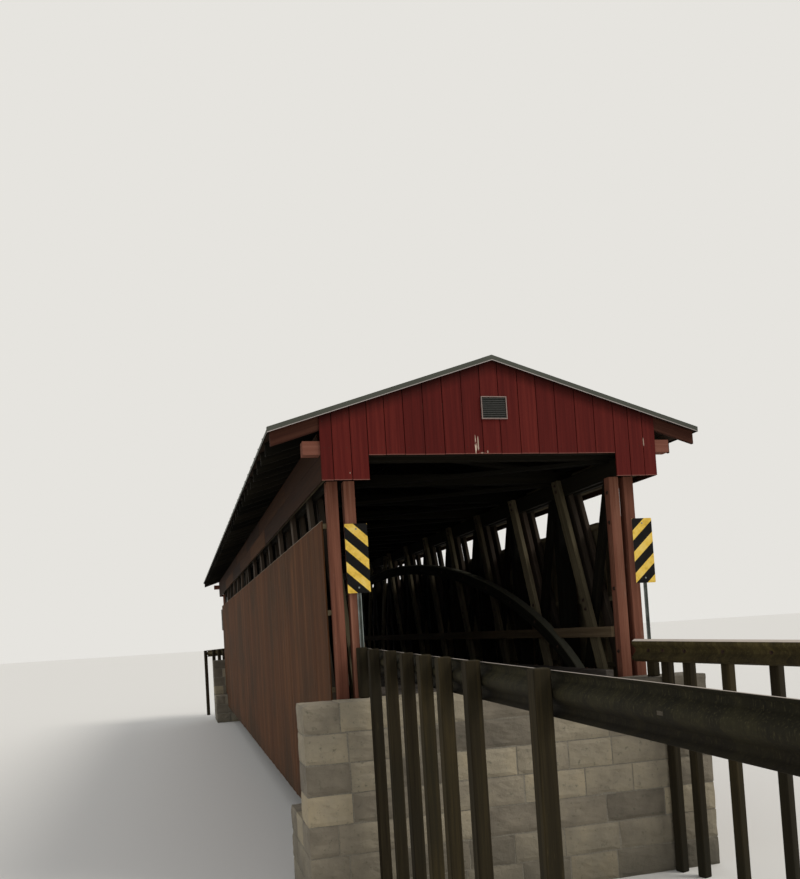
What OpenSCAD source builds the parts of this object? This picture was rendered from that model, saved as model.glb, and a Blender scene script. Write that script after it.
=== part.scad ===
// Covered timber road bridge with plank trusses, laminated arches and a low metal roof.
// X runs across the road, Y along the road away from the near portal, Z up.
// The origin is on the ground under the front faces of the near portal posts.

/* [Span] */
// Length between the outer faces of the near and far portal posts
span_len = 27400; // [21000:100:28400]
// Number of truss panels, an even number
panel_count = 14; // [10:2:18]
// Clear width between the two trusses
clear_w = 3720; // [3400:10:4300]
// Height of the road deck above the ground
deck_h = 2600; // [2400:50:3200]

/* [Trusses] */
// Width of one portal post across the road
post_w = 150; // [130:5:190]
// Depth of one portal post along the road
post_d = 150; // [120:5:200]
// Gap between the twin portal posts, filled by the counter braces
post_gap = 80; // [60:5:110]
// Thickness of a main brace plank
brace_t = 70; // [50:5:90]
// Width of a main brace plank
brace_w = 210; // [140:10:220]
// Width of a counter brace plank
counter_w = 180; // [120:10:200]
// Distance of a brace foot from its panel point
foot_inset = 140; // [130:5:200]
// Distance of a brace head from its panel point
head_inset = 240; // [180:10:320]
// Distance of a counter brace's foot from its panel point
counter_inset = 190; // [180:5:260]
// Width of a truss post along the road
truss_post_w = 200; // [150:10:200]
// Depth of the bottom chord
low_chord_d = 360; // [280:10:420]
// Depth of the top chord
top_chord_d = 260; // [160:10:300]
// Height of the underside of the top chord above the deck
chord_clear = 2850; // [2760:10:3100]

/* [Floor] */
// Thickness of the deck planks
deck_t = 75; // [50:5:100]
// Depth of the stringers under the deck
stringer_d = 350; // [250:10:400]
// Width of one stringer
stringer_w = 150; // [100:10:200]
// Number of stringers
stringer_count = 5; // [3:1:7]
// Depth of the floor beams
beam_d = 450; // [350:10:500]
// Width of a floor beam along the road
beam_w = 200; // [150:10:205]
// Width of the curb timber on each deck edge
curb_w = 120; // [80:10:180]
// Height of the curb timber
curb_h = 100; // [60:10:150]
// Gap between the deck edge and the arch
deck_gap = 10; // [5:1:30]

/* [Arches] */
// Width of an arch rib across the road
arch_w = 130; // [100:5:160]
// Depth of an arch rib
arch_d = 250; // [180:10:300]
// Height of the back of the arch above the deck at mid span
arch_crown = 2620; // [2300:10:2680]
// Distance of the arch foot from the front of the portal posts
arch_start = 350; // [320:10:450]
// Height of the rub rail above the deck
rub_rail_z = 555; // [350:5:700]
// Depth of the rub rail
rub_rail_d = 155; // [100:5:250]
// Thickness of the rub rail
rub_rail_t = 50; // [30:5:80]

/* [Side walls] */
// Thickness of the nailing girts on the trusses
girt_t = 50; // [40:5:80]
// Depth of a nailing girt
girt_d = 70; // [50:5:100]
// Thickness of the wall boards
board_t = 22; // [18:1:30]
// Height of the top of the wall boards above the deck
wall_top = 2350; // [2000:10:2450]
// Depth of the bottom of the wall boards below the deck
wall_drop = 1950; // [1800:10:2100]
// Set back of the wall boards from the front of the portal posts
wall_inset = 120; // [40:10:140]
// Height of the lower edge of the eave boards above the deck
eave_board_z = 2780; // [2650:10:2840]
// Thickness of the eave board backing girts
eave_girt_t = 105; // [80:5:140]
// Thickness of the eave boards and gable boards
gable_t = 25; // [20:1:35]

/* [Portals] */
// Distance of the gable boards in front of the portal posts
gable_fwd = 430; // [350:10:550]
// Height of the underside of the gable boards above the deck at the road
gable_clear = 3100; // [3000:10:3150]
// Half width of the high part of the portal opening
gable_step_x = 1745; // [1600:5:1850]
// Width and depth of a tie beam
tie_w = 175; // [140:5:200]
// Length by which a portal tie beam stands out past the gable boards
tie_reach = 220; // [150:10:300]
// Width of the gable vent
vent_w = 360; // [250:10:500]
// Height of the gable vent
vent_h = 305; // [200:5:400]
// Height of the bottom of the gable vent above the deck
vent_z = 3565; // [3450:5:3650]

/* [Roof] */
// Height of the top of the rafters at the ridge above the deck
rafter_ridge_z = 4365; // [4250:5:4500]
// Rise of the roof for each unit of run
roof_rise = 0.32; // [0.3:0.005:0.35]
// Depth of a rafter, square to the roof
rafter_d = 175; // [120:5:190]
// Thickness of a rafter
rafter_t = 50; // [40:5:80]
// Number of rafter pairs
rafter_count = 47; // [30:1:60]
// Horizontal reach of the rafters past the gable board corner
eave_reach = 620; // [450:10:800]
// Reach of the roof in front of the gable boards
verge_reach = 45; // [20:5:150]
// Thickness of the roof boards
roof_board_t = 25; // [20:1:35]
// Thickness of the metal roof sheet
sheet_t = 6; // [3:1:8]
// Height of a standing seam
seam_h = 20; // [12:1:35]
// Width of a standing seam
seam_w = 40; // [20:2:60]
// Number of roof sheets along the road
sheet_count = 46; // [20:1:60]
// Width of one side of the ridge cap
cap_w = 150; // [100:10:250]

/* [Abutments] */
// Half width of an abutment
abut_half_w = 2800; // [2600:10:3200]
// Length of the bridge seat along the road
seat_len = 1100; // [1000:10:1400]
// Thickness of the back wall that holds the road fill
back_wall_t = 580; // [500:10:700]
// Joint between the back wall and the portal posts
road_joint = 20; // [10:5:30]
// Slope of the abutment's stream face, run for each unit of rise
abut_batter = 0.08; // [0:0.01:0.15]
// Depth of the bed timbers under the trusses
bed_d = 250; // [150:10:300]
// Width of a bed timber along the road
bed_w = 310; // [260:10:320]

/* [Guard rails] */
// Height of the straight rail's top above the deck at the portal
rail_top = 635; // [450:5:800]
// Height of a flared rail's top above the deck at its start
flare_top = 520; // [450:5:800]
// Height of the steel rail section
rail_h = 312; // [280:2:350]
// Depth of the steel rail section
rail_depth = 81; // [60:1:100]
// Thickness of the steel rail, measured across its depth
rail_t = 8; // [4:1:10]
// Side of a square guard rail post
rail_post = 125; // [100:5:200]
// Length of the straight near left rail
rail_long = 8600; // [6600:50:8700]
// Length of a flared rail
rail_short = 3250; // [2600:50:3300]
// Outward flare of the short rails in degrees
rail_flare = 18.6; // [10:0.2:25]
// Fall of the long rail along the road, in degrees
rail_fall = 1.1; // [0:0.1:1.5]
// Fall of a flared rail, in degrees
flare_fall = 1.6; // [0:0.1:2]

/* [Markers] */
// Width of a hazard marker plate
marker_w = 305; // [250:5:450]
// Height of a hazard marker plate
marker_h = 914; // [700:1:1000]
// Height of the bottom of the marker plate above the deck
marker_z = 1310; // [1000:10:1500]
// Thickness of a marker plate
marker_t = 3; // [2:1:6]

/* [Hidden] */
// Truss layers across the road, from the inner face outwards
inner_x = clear_w / 2;
stick_t = post_w - brace_t;
inner_stick_x = inner_x + brace_t;
counter_x = inner_x + post_w;
outer_stick_x = counter_x + post_gap;
outer_brace_x = outer_stick_x + stick_t;
outer_x = outer_brace_x + brace_t;

// Heights above the ground
stringer_top = deck_h - deck_t;
beam_top = stringer_top - stringer_d;
low_chord_top = beam_top - beam_d;
low_chord_z = low_chord_top - low_chord_d;
seat_z = low_chord_z - bed_d;
top_chord_z = deck_h + chord_clear;
tie_z = top_chord_z + top_chord_d;
tie_top = tie_z + tie_w;
low_mid_z = low_chord_z + low_chord_d / 2;
top_mid_z = top_chord_z + top_chord_d / 2;

// Panel points along the road
panel = (span_len - post_d) / panel_count;
function node_y(i) = post_d / 2 + i * panel;

// Side wall and gable faces
wall_x = outer_x + girt_t;
gable_x = outer_x + eave_girt_t + gable_t;
eave_x = gable_x + eave_reach;

// Roof planes, all heights falling by roof_rise from the ridge
pitch = atan(roof_rise);
rafter_v = rafter_d / cos(pitch);
board_v = roof_board_t / cos(pitch);
ridge_z = deck_h + rafter_ridge_z;
ridge_board_t = 40;
ridge_board_d = 210;
function rafter_top(x) = ridge_z - roof_rise * x;
function rafter_low(x) = rafter_top(x) - rafter_v;
plate_w = 150;
roof_y = -gable_fwd - gable_t - verge_reach;

// Arch as two half ellipses on the bed timbers
arch_foot_z = low_chord_z;
arch_a = span_len / 2 - arch_start;
arch_b = deck_h + arch_crown - arch_foot_z;
arch_steps = 48;
function arch_line(a, b) = [for (i = [0:arch_steps])
    [span_len / 2 - a * cos(180 * i / arch_steps), arch_foot_z + b * sin(180 * i / arch_steps)]];
function reversed(list) = [for (i = [len(list) - 1:-1:0]) list[i]];

// Deck between the arches
deck_half_w = inner_x - arch_w - deck_gap;

// Skirt of the walls over the abutments
skirt_clear = 35;
skirt_step_y = seat_len + 150;

// Guard rail posts, as distances along the rail from its start, the last one from the rail's end
end_post = 100;
last_bay = 450;
long_posts = posts_on([90, 780, 1620, 2350, 3010, 3630, 4390, 5755], rail_long);
flare_posts = posts_on([230, 475, 830, 1420, 2095], rail_short);
function posts_on(places, long) =
    concat([for (p = places) if (p < long - last_bay) p], [long - end_post]);
long_rail_x = -inner_x;
long_rail_y = -50;
flare_x = 1950;
flare_y = -250;
long_post_rise = 15;
flare_post_rise = -12;

// Marker posts, as places on the near back wall, with the lift of the plate above marker_z
left_marker = [-1885, -45, 50];
right_marker = [2185, -250, -15];
channel_short = 40;
channel_w = 56;
channel_d = 30;
channel_t = 6;

// Girts on the outer face of the truss, as heights above the deck
girt_margin = 40;
wall_girts = [wall_top - girt_margin - girt_d, 1090, 75];
skirt_girts = [-wall_drop + 850, -wall_drop + girt_margin];
skirt_hanger_w = 100;
hanger_inset = 350;

// Eave board backing, above the top chord's underside and below the tie beams' top
backing_low = top_chord_z + 10;
backing_high = tie_top - 30 - girt_d;

// Flat planks of the roof bracing
lateral_w = 150;
lateral_t = 50;

// Placing helpers
module left_side() {
    mirror([1, 0, 0]) children();
}

module far_end() {
    translate([0, span_len, 0]) mirror([0, 1, 0]) children();
}

module far_turned() {
    translate([0, span_len, 0]) rotate([0, 0, 180]) children();
}

// A block between two corners
module block(low, high) {
    translate(low) cube([high[0] - low[0], high[1] - low[1], high[2] - low[2]]);
}

// A profile drawn in Y and Z, with a thickness across the road
module side_slab(x, thick) {
    translate([x, 0, 0]) rotate([90, 0, 90]) linear_extrude(thick) children();
}

// A profile drawn in X and Z, with a length along the road
module cross_slab(y, long) {
    translate([0, y + long, 0]) rotate([90, 0, 0]) linear_extrude(long) children();
}

// Abutments
module abutment() {
    toe = seat_len + abut_batter * seat_z;
    back = -road_joint - back_wall_t;
    side_slab(-abut_half_w, 2 * abut_half_w)
        polygon([[back, 0], [toe, 0], [seat_len, seat_z], [-road_joint, seat_z],
                 [-road_joint, deck_h], [back, deck_h]]);
}

module near_abutment() {
    color("darkgray") abutment();
}

module far_abutment() {
    color("darkgray") far_end() abutment();
}

module bed_pair() {
    second_y = arch_start - 10;
    block([-outer_x, 0, seat_z], [outer_x, bed_w, low_chord_z]);
    block([-outer_x, second_y, seat_z], [outer_x, second_y + bed_w, low_chord_z]);
}

module bed_timbers() {
    color("sienna") {
        bed_pair();
        far_end() bed_pair();
    }
}

// Chords, each of two sticks with the counter braces between them
module bottom_chord() {
    for (x = [inner_stick_x, outer_stick_x])
        block([x, post_d, low_chord_z], [x + stick_t, span_len - post_d, low_chord_top]);
}

module left_bottom_chord() {
    color("saddlebrown") left_side() bottom_chord();
}

module right_bottom_chord() {
    color("saddlebrown") bottom_chord();
}

module top_chord() {
    for (x = [inner_stick_x, outer_stick_x])
        block([x, -gable_fwd, top_chord_z], [x + stick_t, span_len + gable_fwd, tie_z]);
}

module left_top_chord() {
    color("saddlebrown") left_side() top_chord();
}

module right_top_chord() {
    color("saddlebrown") top_chord();
}

// Twin posts at each side of a portal
module portal_posts() {
    for (x = [inner_x, outer_stick_x]) {
        block([x, 0, low_chord_z], [x + post_w, post_d, top_chord_z]);
        left_side() block([x, 0, low_chord_z], [x + post_w, post_d, top_chord_z]);
    }
}

module near_portal_posts() {
    color("indianred") portal_posts();
}

module far_portal_posts() {
    color("indianred") far_end() portal_posts();
}

// The outline of a slanted plank, from its foot on the bottom chord to its head on the top chord,
// cut off at the chords and at the portal posts
module plank_outline(foot_y, head_y, wide) {
    lean = (head_y - foot_y) / (top_mid_z - low_mid_z);
    half = wide * sqrt(1 + lean * lean) / 2;
    low_y = foot_y + lean * (low_chord_z - low_mid_z);
    high_y = foot_y + lean * (tie_z - low_mid_z);
    intersection() {
        polygon([[low_y - half, low_chord_z], [low_y + half, low_chord_z],
                 [high_y + half, tie_z], [high_y - half, tie_z]]);
        translate([post_d, low_chord_z]) square([span_len - 2 * post_d, tie_z - low_chord_z]);
    }
}

module brace_outline(i) {
    plank_outline(node_y(i) + foot_inset, node_y(i + 1) - head_inset, brace_w);
}

module counter_outline(i) {
    plank_outline(node_y(i + 1) - counter_inset, node_y(i) + head_inset, counter_w);
}

// The part of a brace that lies past its counter brace, up to the top chord
module packing_outline(i) {
    difference() {
        brace_outline(i);
        hull() {
            counter_outline(i);
            translate([-panel, 0]) counter_outline(i);
        }
    }
}

// Main braces of half the span rise towards mid span, as a pair on the two faces of the truss,
// with a packing plank between their upper halves
module half_braces() {
    for (i = [0:panel_count / 2 - 1]) {
        side_slab(inner_x, brace_t) brace_outline(i);
        side_slab(counter_x, post_gap) packing_outline(i);
        side_slab(outer_brace_x, brace_t) brace_outline(i);
    }
}

module braces() {
    half_braces();
    far_end() half_braces();
}

// Counter braces of half the span rise away from mid span, between the chord sticks
module half_counter_braces() {
    for (i = [0:panel_count / 2 - 1])
        side_slab(counter_x, post_gap) counter_outline(i);
}

// Truss posts stand on the floor beams, between the braces of the two faces
module truss_posts() {
    for (i = [1:panel_count - 1])
        block([inner_stick_x, node_y(i) - truss_post_w / 2, beam_top],
              [outer_brace_x, node_y(i) + truss_post_w / 2, top_chord_z]);
}

module counter_braces() {
    half_counter_braces();
    far_end() half_counter_braces();
    truss_posts();
}

// A hanger plank on the bottom chord, in the layer of the outer braces, which carries the skirt
module skirt_hanger(y) {
    block([outer_brace_x, y, deck_h - wall_drop + girt_margin],
          [outer_x, y + skirt_hanger_w, low_chord_top]);
}

module skirt_hangers() {
    for (i = [1:panel_count / 2])
        skirt_hanger(node_y(i) - hanger_inset);
    far_end()
        for (i = [1:panel_count / 2 - 1])
            skirt_hanger(node_y(i) - hanger_inset);
}

module left_braces() {
    color("peru") left_side() {
        braces();
        skirt_hangers();
    }
}

module right_braces() {
    color("peru") {
        braces();
        skirt_hangers();
    }
}

module left_counter_braces() {
    color("burlywood") left_side() counter_braces();
}

module right_counter_braces() {
    color("burlywood") counter_braces();
}

// Laminated arch rib on the inner face of the truss
module arch_outline() {
    polygon(concat(arch_line(arch_a, arch_b),
                   reversed(arch_line(arch_a - arch_d, arch_b - arch_d))));
}

module arch() {
    side_slab(inner_x - arch_w, arch_w) arch_outline();
}

module left_arch() {
    color("tan") left_side() arch();
}

module right_arch() {
    color("tan") arch();
}

// Floor
module floor_beams() {
    color("saddlebrown") {
        for (i = [1:panel_count - 1])
            block([-outer_x, node_y(i) - beam_w / 2, low_chord_top],
                  [outer_x, node_y(i) + beam_w / 2, beam_top]);
        block([-inner_x, 0, low_chord_top], [inner_x, beam_w, beam_top]);
        far_end() block([-inner_x, 0, low_chord_top], [inner_x, beam_w, beam_top]);
    }
}

module stringers() {
    reach = deck_half_w - stringer_w;
    color("sienna")
        for (i = [0:stringer_count - 1]) {
            x = -reach + i * 2 * reach / (stringer_count - 1);
            block([x - stringer_w / 2, 0, beam_top], [x + stringer_w / 2, span_len, stringer_top]);
        }
}

module deck() {
    color("dimgray")
        block([-deck_half_w, 0, stringer_top], [deck_half_w, span_len, deck_h]);
}

module curb() {
    block([deck_half_w - curb_w, 0, deck_h], [deck_half_w, span_len, deck_h + curb_h]);
}

module curbs() {
    color("gray") {
        curb();
        left_side() curb();
    }
}

// Rub rail on the inner face of the truss, cut where the arch passes
module rub_rail() {
    difference() {
        block([inner_x - rub_rail_t, post_d, deck_h + rub_rail_z],
              [inner_x, span_len - post_d, deck_h + rub_rail_z + rub_rail_d]);
        side_slab(inner_x - rub_rail_t - 1, rub_rail_t + 2) arch_outline();
    }
}

module rub_rails() {
    color("tan") {
        rub_rail();
        left_side() rub_rail();
    }
}

// Tie beams on the top chords, one behind each gable and one at each panel point
module tie_beams() {
    portal_half = gable_x + tie_reach;
    color("lightsalmon") {
        block([-portal_half, -gable_fwd, tie_z], [portal_half, -gable_fwd + tie_w, tie_top]);
        far_end() block([-portal_half, -gable_fwd, tie_z], [portal_half, -gable_fwd + tie_w, tie_top]);
        for (i = [0:panel_count])
            block([-outer_x, node_y(i) - tie_w / 2, tie_z], [outer_x, node_y(i) + tie_w / 2, tie_top]);
    }
}

// One flat plank of the roof bracing between two panel points
module lateral_plank(i, dir, z) {
    half_run = inner_stick_x - lateral_w / 2;
    slope = dir * 2 * half_run / panel;
    skew = lateral_w / 2 * sqrt(1 + slope * slope);
    y0 = node_y(i);
    y1 = node_y(i + 1);
    translate([0, 0, z]) linear_extrude(lateral_t)
        intersection() {
            polygon([[-dir * half_run - skew, y0], [-dir * half_run + skew, y0],
                     [dir * half_run + skew, y1], [dir * half_run - skew, y1]]);
            translate([-inner_stick_x, y0]) square([2 * inner_stick_x, y1 - y0]);
        }
}

module upper_laterals() {
    color("peru")
        for (i = [0:panel_count - 1]) {
            lateral_plank(i, 1, tie_top);
            lateral_plank(i, -1, tie_z - lateral_t);
        }
}

// Bevelled plates that carry the rafters on the tie beams
module wall_plate() {
    cross_slab(-gable_fwd, span_len + 2 * gable_fwd)
        polygon([[outer_x - plate_w, tie_top], [outer_x, tie_top],
                 [outer_x, rafter_low(outer_x)], [outer_x - plate_w, rafter_low(outer_x - plate_w)]]);
}

module wall_plates() {
    color("sienna") {
        wall_plate();
        left_side() wall_plate();
    }
}

module rafter(y) {
    x0 = ridge_board_t / 2;
    cross_slab(y, rafter_t)
        polygon([[x0, rafter_low(x0)], [eave_x, rafter_low(eave_x)],
                 [eave_x, rafter_top(eave_x)], [x0, rafter_top(x0)]]);
}

module rafters() {
    first = -gable_fwd;
    step = (span_len + 2 * gable_fwd - rafter_t) / (rafter_count - 1);
    color("indianred")
        for (i = [0:rafter_count - 1]) {
            rafter(first + i * step);
            left_side() rafter(first + i * step);
        }
}

module ridge_board() {
    top = rafter_top(ridge_board_t / 2);
    color("sienna")
        block([-ridge_board_t / 2, -gable_fwd, top - ridge_board_d],
              [ridge_board_t / 2, span_len + gable_fwd, top]);
}

module roof_boards() {
    run = eave_x + 20;
    cross_slab(roof_y, span_len - 2 * roof_y)
        polygon([[0, rafter_top(0)], [run, rafter_top(run)],
                 [run, rafter_top(run) + board_v], [0, rafter_top(0) + board_v]]);
}

module left_roof_boards() {
    color("rosybrown") left_side() roof_boards();
}

module right_roof_boards() {
    color("rosybrown") roof_boards();
}

// Metal sheets with standing seams, drawn along the road and run down the slope
module roof_sheets() {
    start = 10;
    slope_len = (eave_x + 35) / cos(pitch);
    length = span_len - 2 * roof_y;
    step = (length - seam_w) / sheet_count;
    outline = concat(
        [[0, 0]],
        [for (i = [0:sheet_count]) each [
            [i * step, i == 0 ? sheet_t + seam_h : sheet_t], [i * step, sheet_t + seam_h],
            [i * step + seam_w, sheet_t + seam_h],
            [i * step + seam_w, i == sheet_count ? sheet_t + seam_h : sheet_t]]],
        [[length, 0]]);
    translate([0, roof_y, rafter_top(0) + board_v]) rotate([0, pitch, 0])
        translate([start, 0, 0]) rotate([90, 0, 90]) linear_extrude(slope_len - start)
            polygon(outline);
}

module left_roof_sheets() {
    color("silver") left_side() roof_sheets();
}

module right_roof_sheets() {
    color("silver") roof_sheets();
}

module ridge_cap() {
    low = rafter_top(0) + board_v + (sheet_t + seam_h) / cos(pitch);
    high = low + sheet_t / cos(pitch);
    fall = roof_rise * cap_w;
    color("lightgray")
        cross_slab(roof_y, span_len - 2 * roof_y)
            polygon([[-cap_w, low - fall], [0, low], [cap_w, low - fall],
                     [cap_w, high - fall], [0, high], [-cap_w, high - fall]]);
}

// One girt on the outer face of the truss, from y0 to the same place at the far end
module wall_girt(y0, z) {
    block([outer_x, y0, deck_h + z], [wall_x, span_len - y0, deck_h + z + girt_d]);
}

// Girts on the outer face of the truss and the skirt hangers, and eave board backing
module girts() {
    for (z = wall_girts)
        wall_girt(wall_inset, z);
    for (z = skirt_girts)
        wall_girt(skirt_step_y, z);
    back_y = -gable_fwd + tie_w;
    block([outer_x, -gable_fwd, backing_low],
          [outer_x + eave_girt_t, span_len + gable_fwd, backing_low + girt_d]);
    block([outer_x, back_y, backing_high],
          [outer_x + eave_girt_t, span_len - back_y, backing_high + girt_d]);
}

module left_girts() {
    color("sienna") left_side() girts();
}

module right_girts() {
    color("sienna") girts();
}

// Wall boards, cut short over the abutments
module siding() {
    low_z = deck_h - wall_drop;
    short_z = seat_z + skirt_clear;
    y0 = wall_inset;
    y1 = span_len - wall_inset;
    side_slab(wall_x, board_t)
        polygon([[y0, short_z], [skirt_step_y, short_z], [skirt_step_y, low_z],
                 [span_len - skirt_step_y, low_z], [span_len - skirt_step_y, short_z],
                 [y1, short_z], [y1, deck_h + wall_top], [y0, deck_h + wall_top]]);
}

module left_siding() {
    color("sienna") left_side() siding();
}

module right_siding() {
    color("sienna") siding();
}

// Boards between the open strip and the rafters, notched round the portal tie beams
module eave_boards() {
    back_y = -gable_fwd + tie_w;
    top = rafter_low(gable_x);
    low = deck_h + eave_board_z;
    side_slab(gable_x - gable_t, gable_t)
        polygon([[-gable_fwd, low], [span_len + gable_fwd, low], [span_len + gable_fwd, tie_z],
                 [span_len - back_y, tie_z], [span_len - back_y, top],
                 [back_y, top], [back_y, tie_z], [-gable_fwd, tie_z]]);
}

module left_eave_boards() {
    color("brown") left_side() eave_boards();
}

module right_eave_boards() {
    color("brown") eave_boards();
}

// Gable boards, stepped down at the corners over the posts
module gable_boards() {
    step_z = deck_h + eave_board_z;
    clear_z = deck_h + gable_clear;
    cross_slab(-gable_fwd - gable_t, gable_t)
        polygon([[-gable_x, step_z], [-gable_step_x, step_z], [-gable_step_x, clear_z],
                 [gable_step_x, clear_z], [gable_step_x, step_z], [gable_x, step_z],
                 [gable_x, rafter_top(gable_x)], [0, rafter_top(0)], [-gable_x, rafter_top(gable_x)]]);
}

module near_gable_boards() {
    color("firebrick") gable_boards();
}

module far_gable_boards() {
    color("firebrick") far_end() gable_boards();
}

// Framed vent with slats on the face of the gable boards
module gable_vent() {
    frame_w = 22;
    frame_t = 20;
    back_t = 4;
    slat_count = 7;
    slat_t = 2;
    seat = 1;
    y = -gable_fwd - gable_t - frame_t;
    z = deck_h + vent_z;
    inner_h = vent_h - 2 * frame_w;
    step = inner_h / slat_count;
    back_y = y + frame_t - back_t + seat;
    difference() {
        block([-vent_w / 2, y, z], [vent_w / 2, y + frame_t, z + vent_h]);
        block([-vent_w / 2 + frame_w, y - 1, z + frame_w],
              [vent_w / 2 - frame_w, y + frame_t - back_t, z + vent_h - frame_w]);
    }
    for (i = [0:slat_count - 1])
        side_slab(-vent_w / 2 + frame_w - seat, vent_w - 2 * (frame_w - seat))
            polygon([[y + slat_t, z + frame_w + (i + 0.1) * step],
                     [y + 2 * slat_t, z + frame_w + (i + 0.1) * step],
                     [back_y, z + frame_w + (i + 0.8) * step],
                     [back_y, z + frame_w + (i + 0.9) * step]]);
}

module gable_vents() {
    color("darkseagreen") {
        gable_vent();
        far_end() gable_vent();
    }
}

// Steel rail of two waves, running along minus Y with its back on the plane X = 0
module steel_rail(long) {
    h = rail_h / 2;
    front = [[18, h], [rail_depth, h * 0.78], [rail_depth, h * 0.53], [rail_t, h * 0.14],
             [rail_t, -h * 0.14], [rail_depth, -h * 0.53], [rail_depth, -h * 0.78], [18, -h]];
    outline = concat(front, [for (p = reversed(front)) [p[0] - rail_t, p[1]]]);
    translate([0, 0, -h]) cross_slab(-long, long) polygon(outline);
}

module rail_run(long, top, fall) {
    translate([0, 0, deck_h + top]) rotate([fall, 0, 0]) steel_rail(long);
}

module rail_posts(places, rail_z, fall, rise) {
    for (i = [0:len(places) - 1]) {
        top = deck_h + rail_z - places[i] * tan(fall) + rise;
        foot = i == 0 ? deck_h : 0;
        block([-rail_post, -places[i] - rail_post / 2, foot], [0, -places[i] + rail_post / 2, top]);
    }
}

module on_long_line() {
    translate([long_rail_x, long_rail_y, 0]) children();
}

module on_flare_line() {
    translate([flare_x, flare_y, 0]) rotate([0, 0, rail_flare]) mirror([1, 0, 0]) children();
}

// The near left rail runs straight on from the left truss
module long_rail() {
    color("saddlebrown") on_long_line() rail_run(rail_long, rail_top, rail_fall);
}

// The three other rails flare away from the road
module flared_rails() {
    color("saddlebrown") {
        on_flare_line() rail_run(rail_short, flare_top, flare_fall);
        far_turned() on_flare_line() rail_run(rail_short, flare_top, flare_fall);
        left_side() far_turned() on_flare_line() rail_run(rail_short, flare_top, flare_fall);
    }
}

module near_rail_posts() {
    color("sienna") {
        on_long_line() rail_posts(long_posts, rail_top, rail_fall, long_post_rise);
        on_flare_line() rail_posts(flare_posts, flare_top, flare_fall, flare_post_rise);
    }
}

module far_rail_posts() {
    color("sienna") {
        far_turned() on_flare_line() rail_posts(flare_posts, flare_top, flare_fall, flare_post_rise);
        left_side() far_turned() on_flare_line() rail_posts(flare_posts, flare_top, flare_fall, flare_post_rise);
    }
}

// Hazard marker plates on channel posts
module marker_plate(place) {
    low_z = deck_h + marker_z + place[2];
    block([place[0] - marker_w / 2, place[1] - marker_t, low_z],
          [place[0] + marker_w / 2, place[1], low_z + marker_h]);
}

module marker_channel(place) {
    translate([place[0], place[1], deck_h])
        linear_extrude(marker_z + place[2] + marker_h - channel_short)
        polygon([[-channel_w / 2, channel_d], [-channel_w / 2, channel_d - channel_t],
                 [-channel_w / 4 - channel_t / 2, channel_d - channel_t], [-channel_w / 4, 0],
                 [channel_w / 4, 0], [channel_w / 4 + channel_t / 2, channel_d - channel_t],
                 [channel_w / 2, channel_d - channel_t], [channel_w / 2, channel_d],
                 [channel_w / 4 - channel_t / 2, channel_d], [channel_w / 4 - channel_t, channel_t],
                 [-channel_w / 4 + channel_t, channel_t], [-channel_w / 4 + channel_t / 2, channel_d]]);
}

module markers() {
    color("gold") {
        marker_plate(left_marker);
        marker_plate(right_marker);
        far_turned() {
            marker_plate(left_marker);
            marker_plate(right_marker);
        }
    }
}

module marker_posts() {
    color("lightsteelblue") {
        marker_channel(left_marker);
        marker_channel(right_marker);
        far_turned() {
            marker_channel(left_marker);
            marker_channel(right_marker);
        }
    }
}

near_abutment();
far_abutment();
bed_timbers();
left_bottom_chord();
right_bottom_chord();
left_top_chord();
right_top_chord();
near_portal_posts();
far_portal_posts();
left_braces();
right_braces();
left_counter_braces();
right_counter_braces();
left_arch();
right_arch();
floor_beams();
stringers();
deck();
curbs();
rub_rails();
tie_beams();
upper_laterals();
wall_plates();
rafters();
ridge_board();
left_roof_boards();
right_roof_boards();
left_roof_sheets();
right_roof_sheets();
ridge_cap();
left_girts();
right_girts();
left_siding();
right_siding();
left_eave_boards();
right_eave_boards();
near_gable_boards();
far_gable_boards();
gable_vents();
long_rail();
flared_rails();
near_rail_posts();
far_rail_posts();
markers();
marker_posts();
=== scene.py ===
# Looks of the covered bridge: boards, stones, rails, bolts, finishes, camera and light.
import math
import random
from functools import partial

import bmesh
import bpy
from mathutils import Matrix, Vector, noise


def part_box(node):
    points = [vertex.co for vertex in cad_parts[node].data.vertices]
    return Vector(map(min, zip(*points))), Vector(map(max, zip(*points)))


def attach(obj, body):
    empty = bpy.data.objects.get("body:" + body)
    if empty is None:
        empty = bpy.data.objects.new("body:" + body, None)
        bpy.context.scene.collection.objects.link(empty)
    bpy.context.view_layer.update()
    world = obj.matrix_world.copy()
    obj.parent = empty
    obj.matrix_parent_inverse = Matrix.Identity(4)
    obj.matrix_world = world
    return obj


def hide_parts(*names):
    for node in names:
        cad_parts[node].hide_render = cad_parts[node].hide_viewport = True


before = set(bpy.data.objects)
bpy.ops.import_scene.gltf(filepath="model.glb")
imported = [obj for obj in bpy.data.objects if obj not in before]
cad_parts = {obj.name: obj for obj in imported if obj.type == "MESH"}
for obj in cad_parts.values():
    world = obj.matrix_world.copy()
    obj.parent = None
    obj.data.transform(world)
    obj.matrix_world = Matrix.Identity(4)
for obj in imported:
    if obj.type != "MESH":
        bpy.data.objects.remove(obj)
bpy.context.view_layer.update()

MM = 0.001

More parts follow.
